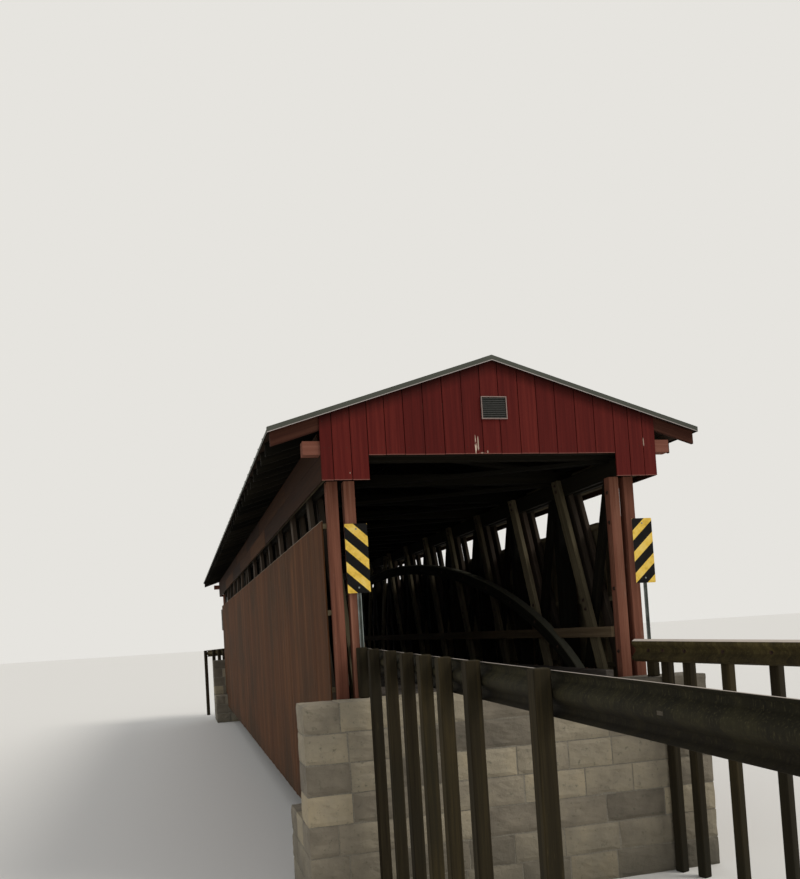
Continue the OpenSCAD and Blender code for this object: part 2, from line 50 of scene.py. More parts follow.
# Main places, from the frame
DECK_LOW, DECK_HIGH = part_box("deck")
DECK_Z = DECK_HIGH.z
SPAN = DECK_HIGH.y
GABLE_LOW, GABLE_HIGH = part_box("near_gable_boards")
RIDGE_Z = GABLE_HIGH.z
GABLE_X = GABLE_HIGH.x
WALL_LOW, WALL_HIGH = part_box("right_siding")
EAVE_LOW, EAVE_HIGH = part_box("right_eave_boards")
ROOF_LOW, ROOF_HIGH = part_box("right_roof_boards")
CHORD_LOW, CHORD_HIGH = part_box("right_bottom_chord")
HEAD_LOW, HEAD_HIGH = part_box("right_top_chord")
ARCH_LOW, ARCH_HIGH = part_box("right_arch")
POST_LOW, POST_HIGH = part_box("near_portal_posts")
TIE_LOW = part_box("tie_beams")[0]

# Roof slope, as the fall for each unit of run
ROOF_RISE = 0.32
ROOF_STRETCH = math.hypot(1, ROOF_RISE)
ROOF_BOARD_V = 25 * MM * ROOF_STRETCH

# Portal opening in the gable boards
GABLE_STEP_X = 1745 * MM
GABLE_CLEAR_Z = DECK_Z + 3100 * MM

# Truss panels
PANEL_COUNT = 14
POST_DEPTH = POST_HIGH.y - POST_LOW.y
PANEL = (SPAN - POST_DEPTH) / PANEL_COUNT
BRACE_T = 70 * MM
TRUSS_X = CHORD_LOW.x - BRACE_T
ARCH_X = ARCH_LOW.x

# Walls over the abutments
SEAT_Z = 1115 * MM
SEAT_Y = 1100 * MM
SKIRT_STEP_Y = SEAT_Y + 150 * MM


# Tools for materials

def srgb(code):
    """The linear colour of a hex value such as 7a4c39."""
    parts = [int(code[i:i + 2], 16) / 255 for i in (0, 2, 4)]
    linear = [p / 12.92 if p <= 0.04045 else ((p + 0.055) / 1.055) ** 2.4 for p in parts]
    return (*linear, 1.0)


def add(tree, kind, inputs=None, stops=None, **settings):
    """Adds a node with its settings, the stops of a ramp, and its inputs as values, sockets or nodes."""
    node = tree.nodes.new("ShaderNode" + kind)
    for key, value in settings.items():
        setattr(node, key, value)
    for key, value in (inputs or {}).items():
        if isinstance(value, bpy.types.Node):
            value = next(socket for socket in value.outputs if socket.enabled)
        if isinstance(value, bpy.types.NodeSocket):
            tree.links.new(value, node.inputs[key])
        else:
            node.inputs[key].default_value = value
    if stops:
        ramp = node.color_ramp.elements
        while len(ramp) < len(stops):
            ramp.new(1.0)
        for element, (place, colour) in zip(ramp, stops):
            element.position = place
            element.color = srgb(colour)
    return node


def new_material(name):
    """An empty material, as (material, what adds a node to it, Object coordinates)."""
    made = bpy.data.materials.new(name)
    made.use_nodes = True
    made.node_tree.nodes.clear()
    node = partial(add, made.node_tree)
    return made, node, node("TexCoord").outputs["Object"]


def surfaced(made, colour, roughness, bump=None, metallic=0.0, specular=0.5):
    """Ends a material with its one Principled shader."""
    inputs = {"Base Color": colour, "Roughness": roughness, "Metallic": metallic,
              "Specular IOR Level": specular}
    if bump:
        inputs["Normal"] = bump
    shader = add(made.node_tree, "BsdfPrincipled", inputs)
    add(made.node_tree, "OutputMaterial", {"Surface": shader})
    return made


def stretched(node, where, stretch, detail, roughness=0.5):
    """Noise drawn out by a scale for each axis."""
    way = node("Mapping", {"Vector": where, "Scale": stretch})
    return node("TexNoise", {"Vector": way, "Scale": 1.0, "Detail": detail, "Roughness": roughness})


def coated(node, colour, coats):
    """Lays colours over a colour one after another, each as a mask and a hex value."""
    for mask, code in coats:
        colour = node("Mix", {0: mask, 6: colour, 7: srgb(code)}, data_type="RGBA")
    return colour


def wood(name, colours, worn=None, wear=0.5, roughness=0.85, grime=None, chips=None, ends=None,
         spread=0.33):
    """Sawn timber whose grain follows each member, with a finish that may be worn away.

    colours are the dark, middle and light hex values, and spread is how far members differ. worn
    is the hex value of the bare wood that shows where the finish is gone, the more so the lower
    wear is. grime is a height and a hex value: members darken to it below that height. ends is
    the attribute that tells the distance from a board's end, a hex value and a reach.
    """
    made, node, place = new_material(name)
    grain = node("Attribute", attribute_name="grain").outputs["Vector"]
    tone = node("Attribute", attribute_name="tone").outputs["Fac"]
    # Broad streaks are some 40 mm wide and 1.6 m long, fibres some 6 mm and 300 mm
    streak = stretched(node, grain, (1 / 1.6, 25, 25), 5.0, 0.6)
    fibre = stretched(node, grain, (1 / 0.3, 160, 160), 4.0, 0.7)
    both = node("Mix", {0: 0.35, 2: streak, 3: fibre})
    shade = node("Mix", {0: spread, 2: both, 3: tone})
    body = node("ValToRGB", {0: shade}, stops=list(zip((0.30, 0.5, 0.70), colours)))
    coats = []
    if worn:
        # Patches of bare wood, drawn out along the grain
        patch = stretched(node, grain, (1 / 0.5, 9, 9), 8.0, 0.75)
        coats.append((node("MapRange", {0: patch, 1: wear + 0.08, 2: wear + 0.22}), worn))
    if grime:
        level, damp = grime
        height = node("SeparateXYZ", {0: place}).outputs["Z"]
        blotch = node("TexNoise", {"Vector": place, "Scale": 3.0, "Detail": 6.0})
        ragged = node("Math", {0: blotch, 1: 1.2, 2: height}, operation="MULTIPLY_ADD")
        low = node("MapRange", {0: ragged, 1: level + 0.3, 2: level + 1.1, 3: 0.75, 4: 0.0})
        # Damp stains some 2 m across
        cloud = node("TexNoise", {"Vector": place, "Scale": 0.5, "Detail": 6.0, "Roughness": 0.6})
        stain = node("MapRange", {0: cloud, 1: 0.46, 2: 0.62, 4: 0.5})
        coats += [(low, damp), (stain, damp)]
    if ends:
        attribute, frayed, reach = ends
        away = node("Attribute", attribute_name=attribute).outputs["Fac"]
        torn = node("Math", {0: fibre, 1: reach * 2, 2: away}, operation="MULTIPLY_ADD")
        rim = node("MapRange", {0: torn, 1: reach * 1.6, 2: reach * 2.2, 3: 1.0, 4: 0.0})
        coats.append((rim, frayed))
    colour = coated(node, body, coats)
    if chips:
        colour = chips(node, colour, place, grain)
    bump = node("Bump", {"Height": both, "Strength": 0.6, "Distance": 1.5 * MM})
    rough = node("MapRange", {0: fibre, 3: roughness - 0.1, 4: roughness + 0.1})
    return surfaced(made, colour, rough, bump, specular=0.08)


def gable_chips(node, colour, place, grain):
    """Painted shadow below the roof edge, and flakes of missing paint on the near gable."""
    parts = node("SeparateXYZ", {0: place})
    aside = node("Math", {0: parts.outputs["X"]}, operation="ABSOLUTE")
    slope = node("Math", {0: aside, 1: ROOF_RISE, 2: parts.outputs["Z"]}, operation="MULTIPLY_ADD")
    # A painted shadow under the roof edge, darkest just below it
    rake_shadow = node("MapRange", {0: slope, 1: RIDGE_Z - 0.2, 2: RIDGE_Z - 0.02, 3: 0.0, 4: 0.72})
    coats = [(rake_shadow, "1a0c08")]
    torn = stretched(node, grain, (9, 70, 70), 5.0)
    for x, above, half_w, half_h, bare in GABLE_FLAKES:
        z = GABLE_CLEAR_Z + above
        away = node("Mapping", {"Vector": place, "Location": (-x / half_w, 0, -z / half_h),
                                "Scale": (1 / half_w, 1, 1 / half_h)})
        reach = node("VectorMath", {0: away}, operation="LENGTH").outputs["Value"]
        edge = node("Math", {0: torn, 1: 2.0, 2: reach}, operation="MULTIPLY_ADD")
        coats.append((node("MapRange", {0: edge, 1: 1.85, 2: 1.7, 4: bare}), "cdb9a4"))
    return coated(node, colour, coats)


def cut_stone():
    """Quarried sandstone with a pitched face: matt, grainy, each block a little different."""
    made, node, place = new_material("pitched_sandstone")
    tone = node("Attribute", attribute_name="tone").outputs["Fac"]
    cloud = node("TexNoise", {"Vector": place, "Scale": 2.2, "Detail": 8.0, "Roughness": 0.62})
    shade = node("Mix", {0: 0.45, 2: cloud, 3: tone})
    body = node("ValToRGB", {0: shade},
                stops=[(0.22, "5d564a"), (0.42, "7b7262"), (0.6, "938974"), (0.8, "a99a7d")])
    # Grit of some 4 mm, and dark lichen spots some 60 mm across
    grit = node("TexNoise", {"Vector": place, "Scale": 260.0, "Detail": 3.0})
    lichen = node("TexNoise", {"Vector": place, "Scale": 17.0, "Detail": 6.0, "Roughness": 0.7})
    spots = node("MapRange", {0: lichen, 1: 0.58, 2: 0.68, 4: 0.55})
    height = node("SeparateXYZ", {0: place}).outputs["Z"]
    damp = node("MapRange", {0: height, 1: 0.0, 2: 0.9, 3: 0.5, 4: 0.0})
    colour = coated(node, body, [(spots, "474a3a"), (damp, "4a483c")])
    # Hollows left by the pitching tool, some 80 mm across
    hollow = node("TexNoise", {"Vector": place, "Scale": 12.0, "Detail": 10.0, "Roughness": 0.62})
    relief = node("Mix", {0: 0.15, 2: hollow, 3: grit})
    bump = node("Bump", {"Height": relief, "Strength": 0.9, "Distance": 22 * MM})
    return surfaced(made, colour, 0.92, bump)


def lime_mortar():
    """Old lime mortar between the stones: chalky, sandy and slightly stained."""
    made, node, place = new_material("lime_mortar")
    sand = node("TexNoise", {"Vector": place, "Scale": 60.0, "Detail": 6.0})
    body = node("ValToRGB", {0: sand}, stops=[(0.3, "6d675b"), (0.7, "8e8777")])
    bump = node("Bump", {"Height": sand, "Strength": 0.5, "Distance": 2 * MM})
    return surfaced(made, body, 0.95, bump)


def roof_metal(name, colours, roughness):
    """Galvanised sheet gone dull: a soft grey sheen with stains that run down the slope."""
    made, node, place = new_material(name)
    runs = stretched(node, place, (0.5, 9, 0.5), 6.0, 0.6)
    cloud = node("TexNoise", {"Vector": place, "Scale": 1.3, "Detail": 5.0})
    shade = node("Mix", {0: 0.5, 2: runs, 3: cloud})
    body = node("ValToRGB", {0: shade}, stops=list(zip((0.32, 0.5, 0.68), colours)))
    rust = node("MapRange", {0: runs, 1: 0.66, 2: 0.74, 4: 0.5})
    bump = node("Bump", {"Height": cloud, "Strength": 0.15, "Distance": 6 * MM})
    rough = node("MapRange", {0: shade, 3: roughness - 0.12, 4: roughness + 0.12})
    return surfaced(made, coated(node, body, [(rust, "6b5546")]), rough, bump, metallic=0.7)


def weathering_steel(name, colours):
    """Weathering steel: a dense matt brown rust skin with darker runs and pale specks, painted shade on
    the lower wave and a painted highlight along the top lip.

    colours are the dark, middle and light hex values of the skin and that of its specks.
    """
    made, node, place = new_material(name)
    cloud = node("TexNoise", {"Vector": place, "Scale": 3.5, "Detail": 8.0, "Roughness": 0.65})
    runs = stretched(node, place, (3, 22, 1.2), 4.0)
    shade = node("Mix", {0: 0.4, 2: cloud, 3: runs})
    body = node("ValToRGB", {0: shade}, stops=list(zip((0.3, 0.48, 0.66), colours)))
    # Specks and drips of lichen and rust, some 13 mm wide and 36 mm high
    speck = stretched(node, place, (75, 75, 28), 5.0, 0.7)
    specked = node("MapRange", {0: speck, 1: 0.54, 2: 0.70, 4: 0.5})
    # The lower wave is darker: painted shade
    depth = node("Attribute", attribute_name="depth").outputs["Fac"]
    low_shade = node("MapRange", {0: depth, 1: 0.4 * RAIL_H, 2: 0.8 * RAIL_H, 4: 0.5})
    # A painted highlight along the top lip, down to the rail's highlight depth
    lip = node("Attribute", attribute_name="lip").outputs["Fac"]
    ragged = node("Math", {0: cloud, 1: 0.5, 2: lip}, operation="MULTIPLY_ADD")
    bright = node("MapRange", {0: ragged, 1: 0.95, 2: 1.2})
    colour = coated(node, body, [(specked, colours[3]), (low_shade, "120a05"), (bright, "c9bdb0")])
    pits = node("TexNoise", {"Vector": place, "Scale": 320.0, "Detail": 3.0})
    bump = node("Bump", {"Height": pits, "Strength": 0.4, "Distance": 0.8 * MM})
    rough = node("MapRange", {0: pits, 3: 0.8, 4: 0.95})
    return surfaced(made, colour, rough, bump, specular=0.2)


def bolt_steel():
    """Hot-rolled bolts and nail heads, rusted dark brown."""
    made, node, place = new_material("rusted_bolt_steel")
    cloud = node("TexNoise", {"Vector": place, "Scale": 45.0, "Detail": 4.0})
    body = node("ValToRGB", {0: cloud}, stops=[(0.35, "241a14"), (0.65, "4b3426")])
    return surfaced(made, body, 0.7, metallic=0.4)


def galvanised(name, dark, light):
    """Hot-dip galvanised steel: grey with a faint spangle."""
    made, node, place = new_material(name)
    spangle = node("TexVoronoi", {"Vector": place, "Scale": 55.0})
    cloud = node("TexNoise", {"Vector": place, "Scale": 6.0, "Detail": 5.0})
    body = node("ValToRGB", {0: cloud}, stops=[(0.3, dark), (0.7, light)])
    bright = node("SeparateColor", {0: spangle.outputs["Color"]})
    rough = node("MapRange", {0: bright, 3: 0.38, 4: 0.6})
    return surfaced(made, body, rough, metallic=0.85)


def striped_sheeting():
    """Reflective sheeting on aluminium: yellow with slanted black stripes, slightly dusty."""
    made, node, place = new_material("striped_reflective_sheeting")
    across = node("UVMap", uv_map="plate")
    parts = node("SeparateXYZ", {0: across})
    # Stripes lie near 45 degrees, and yellow and black together measure 300 mm up the plate
    slant = node("Math", {0: parts.outputs["X"], 1: parts.outputs["Y"]}, operation="ADD")
    wave = node("Math", {0: slant, 1: STRIPE_PERIOD}, operation="FLOORED_MODULO")
    band = node("Math", {0: wave, 1: STRIPE_YELLOW}, operation="LESS_THAN")
    dust = node("TexNoise", {"Vector": place, "Scale": 9.0, "Detail": 8.0, "Roughness": 0.7})
    yellow = node("ValToRGB", {0: dust}, stops=[(0.3, "c9a13a"), (0.5, "ecc555"), (0.75, "f4d880")])
    black = node("ValToRGB", {0: dust}, stops=[(0.35, "070708"), (0.7, "171513")])
    face = node("Mix", {0: band, 6: black, 7: yellow}, data_type="RGBA")
    # Honeycomb cells of the sheeting are some 3 mm wide
    cells = node("TexVoronoi", {"Vector": place, "Scale": 330.0}, feature="DISTANCE_TO_EDGE")
    bump = node("Bump", {"Height": cells, "Strength": 0.12, "Distance": 0.3 * MM})
    return surfaced(made, face, 0.42, bump, specular=0.12)


def enamel(name, dark, light):
    """Baked enamel on thin steel, chalked by the sun."""
    made, node, place = new_material(name)
    cloud = node("TexNoise", {"Vector": place, "Scale": 14.0, "Detail": 7.0, "Roughness": 0.7})
    body = node("ValToRGB", {0: cloud}, stops=[(0.3, dark), (0.7, light)])
    return surfaced(made, body, 0.6)


# Tools for meshes

def members(bm):
    """The separate solids of a mesh, as lists of vertices."""
    seen = set()
    for start in bm.verts:
        if start in seen:
            continue
        seen.add(start)
        found, waiting = [], [start]
        while waiting:
            here = waiting.pop()
            found.append(here)
            for edge in here.link_edges:
                there = edge.other_vert(here)
                if there not in seen:
                    seen.add(there)
                    waiting.append(there)
        yield found


def corners(solid):
    """The lowest and highest corner of a list of vertices."""
    return (Vector([min(v.co[i] for v in solid) for i in range(3)]),
            Vector([max(v.co[i] for v in solid) for i in range(3)]))


def mark_members(bm, seed):
    """Gives each solid its tone, grain coordinates along its longest edge and heights from its ends."""
    rng = random.Random(seed)
    grain = bm.verts.layers.float_vector.new("grain")
    tone, foot, crown = [bm.verts.layers.float.new(key) for key in ("tone", "foot", "crown")]
    for solid in members(bm):
        low, high = corners(solid)
        longest = max((edge for v in solid for edge in v.link_edges), key=lambda e: e.calc_length())
        along = (longest.verts[1].co - longest.verts[0].co).normalized()
        side = along.orthogonal().normalized()
        axes = Matrix((along, side, along.cross(side)))
        start = Vector([rng.uniform(0, 40) for _ in range(3)])
        shade = rng.random()
        for v in solid:
            v[grain] = axes @ v.co + start
            v[tone] = shade
            v[foot] = v.co.z - low.z
            v[crown] = high.z - v.co.z


def bevel_edges(bm, width):
    """Rounds every edge that turns by more than 20 degrees."""
    sharp = [e for e in bm.edges if len(e.link_faces) == 2 and e.calc_face_angle(0) > math.radians(20)]
    bmesh.ops.bevel(bm, geom=sharp, offset=width, offset_type="OFFSET", segments=1, profile=0.5,
                    affect="EDGES", clamp_overlap=True, material=-1)


def round_corners(bm, verts, radius, segments):
    """Rounds the corners of a flat outline."""
    bmesh.ops.bevel(bm, geom=verts, offset=radius, offset_type="OFFSET", segments=segments, profile=0.5,
                    affect="VERTICES", clamp_overlap=True, material=-1)


def only(kind, made):
    """The parts of one kind among those that an operator made."""
    return [part for part in made if isinstance(part, kind)]


def push(bm, made, run):
    """Moves what an extrusion made along a vector."""
    bmesh.ops.translate(bm, vec=run, verts=only(bmesh.types.BMVert, made))


def prism(bm, outline, run, material=0):
    """A flat outline pushed along a vector, with the index of its material."""
    face = bm.faces.new([bm.verts.new(p) for p in outline])
    face.material_index = material
    push(bm, bmesh.ops.extrude_face_region(bm, geom=[face])["geom"], run)


def block(bm, low, high):
    """A block between two corners."""
    middle = (Vector(low) + Vector(high)) / 2
    size = Vector(high) - Vector(low)
    bmesh.ops.create_cube(bm, size=1, matrix=Matrix.Translation(middle) @ Matrix.Diagonal((*size, 1)))


def finished(bm, name):
    """Turns a bmesh into a mesh whose faces point outwards."""
    bmesh.ops.recalc_face_normals(bm, faces=bm.faces[:])
    mesh = bpy.data.meshes.new(name)
    bm.to_mesh(mesh)
    bm.free()
    return mesh


def linked(data):
    """An object in the scene, named as its mesh, lamp or camera."""
    made = bpy.data.objects.new(data.name, data)
    bpy.context.collection.objects.link(made)
    return made


def link_piece(mesh, slot, materials, nodes=()):
    """Puts a finished mesh in the scene as a piece of the bridge."""
    for material in materials:
        mesh.materials.append(material)
    made = linked(mesh)
    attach(made, "root")
    if nodes:
        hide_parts(*nodes)


def piece(bm, name, slot, materials, nodes=(), seed=1, bevel=0.0):
    """Finishes a mesh of closed solids: rounds its edges, marks its grain and links it."""
    if bevel:
        bevel_edges(bm, bevel)
    mark_members(bm, seed)
    link_piece(finished(bm, name), slot, materials, nodes)


def end_piece(bm, end, name, *rest):
    """Finishes a piece that was modelled at the near end, mirrored where it is the far end's."""
    if end == "far":
        bmesh.ops.transform(bm, matrix=Matrix.Translation((0, SPAN, 0)) @ Matrix.Diagonal((1, -1, 1, 1)),
                            verts=bm.verts[:])
    piece(bm, end + "_" + name, *rest)


def solid_copy(node):
    """The mesh of a CAD node with its corners merged and its flat faces whole."""
    bm = bmesh.new()
    bm.from_mesh(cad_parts[node].data)
    bmesh.ops.remove_doubles(bm, verts=bm.verts[:], dist=0.01 * MM)
    bmesh.ops.dissolve_limit(bm, angle_limit=math.radians(0.5), use_dissolve_boundaries=False,
                             verts=bm.verts[:], edges=bm.edges[:], delimit=set())
    return bm


def solids_of(node):
    """The lowest and highest corner of each solid of a CAD node."""
    bm = solid_copy(node)
    found = [corners(solid) for solid in members(bm)]
    bm.free()
    return found


def worn_timber(node, slot, materials, seed, bevel=4 * MM, second=None):
    """A CAD node's timbers with worn edges and their own grain.

    second tells from a timber's corners whether it has the second of the materials.
    """
    bm = solid_copy(node)
    if second:
        for solid in members(bm):
            if second(*corners(solid)):
                for face in {f for v in solid for f in v.link_faces}:
                    face.material_index = 1
    piece(bm, "worn_" + node, slot, materials, [node], seed, bevel)


def tie_timbers(materials):
    """The tie beams: the ends that stand out past the gable boards have the beam paint, and the rest is
    dark with painted shade.
    """
    bm = solid_copy("tie_beams")
    inside = GABLE_X - 15 * MM
    for x in (-inside, inside):
        bmesh.ops.bisect_plane(bm, geom=bm.verts[:] + bm.edges[:] + bm.faces[:],
                               plane_co=(x, 0, 0), plane_no=(1, 0, 0))
    # Inside the gable boards the beams take the dark finish: painted shade
    for face in bm.faces:
        face.material_index = 1 if abs(face.calc_center_median().x) < inside else 0
    piece(bm, "worn_tie_beams", "tie_timber", materials, ["tie_beams"], 137, 2 * MM)


def scatter(name, slot, material, template, places):
    """One piece of the template's copies at each matrix."""
    template.verts.index_update()
    verts = [v.co.copy() for v in template.verts]
    faces = [[v.index for v in f.verts] for f in template.faces]
    template.free()
    count = len(verts)
    all_verts = [place @ v for place in places for v in verts]
    all_faces = [[i + k * count for i in f] for k in range(len(places)) for f in faces]
    mesh = bpy.data.meshes.new(name)
    mesh.from_pydata(all_verts, [], all_faces)
    link_piece(mesh, slot, [material])


def facing(point, direction):
    """The matrix that puts a part standing on Z at a point, turned to face a direction."""
    return Matrix.Translation(point) @ Vector(direction).to_track_quat("Z", "Y").to_matrix().to_4x4()


def lengths(start, end, shortest, draw):
    """Stretches drawn one after another from start to end, of which the last is never a short one."""
    while start < end - 1 * MM:
        stop = start + draw(start)
        if end - stop < shortest:
            stop = end
        yield start, stop
        start = stop


def side_facts(side, seed):
    """Which way a side lies from the middle, and its own random numbers."""
    right = side == "right"
    return (1 if right else -1), random.Random(seed + right)


def roof_z(x):
    """Height of the top of the rafters."""
    return RIDGE_Z - ROOF_RISE * abs(x)


def node_y(i):
    """Place of a panel point along the road."""
    return POST_DEPTH / 2 + i * PANEL


# Boards and planks

# Gable seams, measured from the left corner to the right one
GABLE_SEAMS = [s * MM for s in (-2210, -1970, -1745, -1510, -1255, -985, -715, -445, -180,
                                75, 355, 615, 885, 1175, 1455, 1745, 1965, 2180)]
GABLE_BOARDS = list(zip([-GABLE_X, *GABLE_SEAMS], [*GABLE_SEAMS, GABLE_X]))
GABLE_JOINT = 9 * MM
# Flakes as place aside, height above the opening, half width, half height and how bare the wood is
GABLE_FLAKES = [(-0.287, 0.08, 0.014, 0.13, 1.0), (-0.289, 0.19, 0.010, 0.08, 0.6),
                (-0.254, 0.13, 0.013, 0.13, 0.65), (-0.20, 0.015, 0.06, 0.012, 0.5),
                (-0.128, 0.03, 0.015, 0.02, 0.5), (2.185, 0.157, 0.015, 0.09, 0.6),
                (-2.0, GABLE_LOW.z - GABLE_CLEAR_Z + 0.09, 0.009, 0.015, 0.5)]
BATTEN_HALF = 1150 * MM
WALL_WIDTHS = (150, 175, 190, 200, 225, 240)
WALL_SPARE = 3 * MM
EAVE_JOINT = 3 * MM
EAVE_NOTCH = 175 * MM
ROOF_ROWS = 16
ROOF_JOINT = 3 * MM
DECK_COUNT = 112
DECK_JOINT = 6 * MM


def wall_board(bm, sign, across, along, up):
    """A board flat on a side wall, from its lowest to its highest place in each direction."""
    (x0, x1), (y0, y1), (z0, z1) = across, along, up
    outline = [(sign * x0, y, z) for y, z in ((y0, z0), (y1, z0), (y1, z1), (y0, z1))]
    prism(bm, outline, (sign * (x1 - x0), 0, 0))


def slope_board(bm, sign, across, along, above, material=0):
    """A board flat on a roof slope, whose heights are taken from the top of the rafters."""
    (x0, x1), (y0, y1), (low, high) = across, along, above
    outline = [(sign * x, y0, roof_z(x) + up) for x, up in ((x0, low), (x1, low), (x1, high), (x0, high))]
    prism(bm, outline, (0, y1 - y0, 0), material)


def gable_boards(end, material):
    """Upright boards cut to the roof slope above and to the portal opening below."""
    rng = random.Random(11)
    bm = bmesh.new()
    for left, right in GABLE_BOARDS:
        x0, x1 = left + GABLE_JOINT / 2, right - GABLE_JOINT / 2
        over_post = abs(left + right) / 2 > GABLE_STEP_X
        low = (GABLE_LOW.z if over_post else GABLE_CLEAR_Z) + rng.uniform(0, 5) * MM
        face_y = GABLE_LOW.y + rng.uniform(0, 4) * MM
        top = [(x, roof_z(x)) for x in ((x1, 0, x0) if x0 < 0 < x1 else (x1, x0))]
        outline = [(x, face_y, z) for x, z in [(x0, low), (x1, low), *top]]
        prism(bm, outline, (0, GABLE_HIGH.y - face_y, 0))
    end_piece(bm, end, "gable_planks", "gable_board", [material], [end + "_gable_boards"], 12, 2 * MM)


def gable_batten(end, material):
    """The rail that the gable boards are nailed to below the rafters, on their inner face."""
    bm = bmesh.new()
    low = roof_z(BATTEN_HALF) - 300 * MM
    high = low + 90 * MM
    outline = [(x, GABLE_HIGH.y, z) for x, z in ((-BATTEN_HALF, low), (BATTEN_HALF, low),
                                                 (BATTEN_HALF, high), (-BATTEN_HALF, high))]
    prism(bm, outline, (0, 40 * MM, 0))
    end_piece(bm, end, "gable_batten", "timber", [material], (), 13, 3 * MM)


def wall_boards(side, stained, bare):
    """Upright wall boards of mixed widths, cut short over the abutments and stained outside only."""
    sign, rng = side_facts(side, 21)
    steps = (SKIRT_STEP_Y, SPAN - SKIRT_STEP_Y)
    bm = bmesh.new()

    def width(y):
        stop = min(y + rng.choice(WALL_WIDTHS) * MM, WALL_HIGH.y)
        for step in steps:
            if y < step - 1 * MM < stop or abs(stop - step) < 60 * MM:
                stop = step
        return stop - y

    for y, stop in lengths(WALL_LOW.y, WALL_HIGH.y, 90 * MM, width):
        over_seat = not steps[0] <= (y + stop) / 2 <= steps[1]
        low = (SEAT_Z + 35 * MM if over_seat else WALL_LOW.z) + rng.uniform(0, 14) * MM
        high = WALL_HIGH.z - rng.uniform(0, 6) * MM
        setback = rng.uniform(0, 3) * MM
        gap = rng.uniform(2, 5) * MM
        wall_board(bm, sign, (WALL_LOW.x + setback, WALL_HIGH.x + setback - WALL_SPARE),
                   (y + gap, stop - gap), (low, high))
    for face in bm.faces:
        if abs(face.calc_center_median().x) < WALL_LOW.x + WALL_SPARE + 1 * MM:
            face.material_index = 1
    piece(bm, side + "_wall_planks", "wall_board", [stained, bare], [side + "_siding"], 23, 2 * MM)


def eave_planks(side, material):
    """Two long boards one above the other in lengths, between the open strip and the rafters."""
    sign, rng = side_facts(side, 31)
    bm = bmesh.new()
    notch_y = TIE_LOW.y + EAVE_NOTCH
    for low, high, first, last in ((EAVE_LOW.z, TIE_LOW.z, EAVE_LOW.y, EAVE_HIGH.y),
                                   (TIE_LOW.z, EAVE_HIGH.z, notch_y, SPAN - notch_y)):
        for y, stop in lengths(first, last, 1.2, lambda y: rng.uniform(3.4, 4.9)):
            wall_board(bm, sign, (EAVE_LOW.x, EAVE_HIGH.x - rng.uniform(0, 3) * MM),
                       (y + EAVE_JOINT, stop - EAVE_JOINT), (low + EAVE_JOINT, high))
    piece(bm, side + "_eave_planks", "wall_board", [material], [side + "_eave_boards"], 33, 3 * MM)


def roof_planks(side, material):
    """Rows of rough boards across the rafters, in staggered lengths."""
    sign, rng = side_facts(side, 41)
    bm = bmesh.new()
    width = ROOF_HIGH.x / ROOF_ROWS
    for row in range(ROOF_ROWS):
        for y, stop in lengths(ROOF_LOW.y, ROOF_HIGH.y, 1.0, lambda y: rng.uniform(2.4, 4.8)):
            slope_board(bm, sign, (row * width + ROOF_JOINT, (row + 1) * width - ROOF_JOINT),
                        (y + 1 * MM, stop - 1 * MM), (0, ROOF_BOARD_V))
    piece(bm, side + "_roof_planks", "roof_board", [material], [side + "_roof_boards"], 43, 1.5 * MM)


def deck_planks(material):
    """Planks laid across the road, with open joints and worn edges."""
    rng = random.Random(51)
    bm = bmesh.new()
    pitch = (DECK_HIGH.y - DECK_LOW.y) / DECK_COUNT
    for i in range(DECK_COUNT):
        y = DECK_LOW.y + i * pitch + DECK_JOINT / 2
        top = DECK_HIGH.z - rng.uniform(0, 4) * MM
        left, right = [rng.uniform(0, 12) * MM for _ in range(2)]
        block(bm, (DECK_LOW.x + left, y, DECK_LOW.z), (DECK_HIGH.x - right, y + pitch - DECK_JOINT, top))
    piece(bm, "deck_planks", "deck_plank", [material], ["deck"], 52, 4 * MM)


# Laminated arches

LAMINATIONS = 8
ARCH_DEPTH = 250 * MM
ARCH_STEPS = 72
GLUE_LINE = 0.7 * MM


def arch_point(x, inward, turn):
    """A point at a depth inside the arch's outer rim, after a turn from its near foot."""
    reach = (ARCH_HIGH.y - ARCH_LOW.y) / 2 - inward
    rise = ARCH_HIGH.z - ARCH_LOW.z - inward
    return Vector((x, SPAN / 2 - reach * math.cos(turn), ARCH_LOW.z + rise * math.sin(turn)))


def arch_ribs(side, material):
    """Planks bent over each other along a half ellipse, with a dark line between them."""
    low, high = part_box(side + "_arch")
    rng = side_facts(side, 61)[1]
    width = high.x - low.x
    layer = ARCH_DEPTH / LAMINATIONS
    bm = bmesh.new()
    grain = bm.verts.layers.float_vector.new("grain")
    tone = bm.verts.layers.float.new("tone")
    for k in range(LAMINATIONS):
        outer, inner = layer * k + GLUE_LINE, layer * (k + 1) - GLUE_LINE
        inset = rng.uniform(0, 2.5) * MM
        # The outer lamination is lightest, a painted highlight along the arch's top; the rest are dark
        shade = 1.0 if k == 0 else rng.uniform(0, 0.35)
        sides = ((inset, outer), (width - inset, outer), (width - inset, inner), (inset, inner))
        length = 0.0
        previous = None
        for step in range(ARCH_STEPS + 1):
            rim = [arch_point(low.x + x, d, math.pi * step / ARCH_STEPS) for x, d in sides]
            if previous:
                length += (rim[0] - previous[0]).length
                made = bmesh.ops.extrude_face_region(bm, geom=[face])["geom"]
                face = only(bmesh.types.BMFace, made)[0]
                section = [min(face.verts, key=lambda v: (v.co - corner).length) for corner in previous]
                for v, p in zip(section, rim):
                    v.co = p
            else:
                face = bm.faces.new([bm.verts.new(p) for p in rim])
                section = face.verts
            previous = rim
            for v, (a, b) in zip(section, ((0, 0), (width, 0), (width, layer), (0, layer))):
                v[grain] = Vector((length + 7 * k, a, b + 3 * k))
                v[tone] = shade
    bevel_edges(bm, 1.5 * MM)
    link_piece(finished(bm, side + "_arch_laminations"), "new_timber", [material], [side + "_arch"])


# Stone abutments

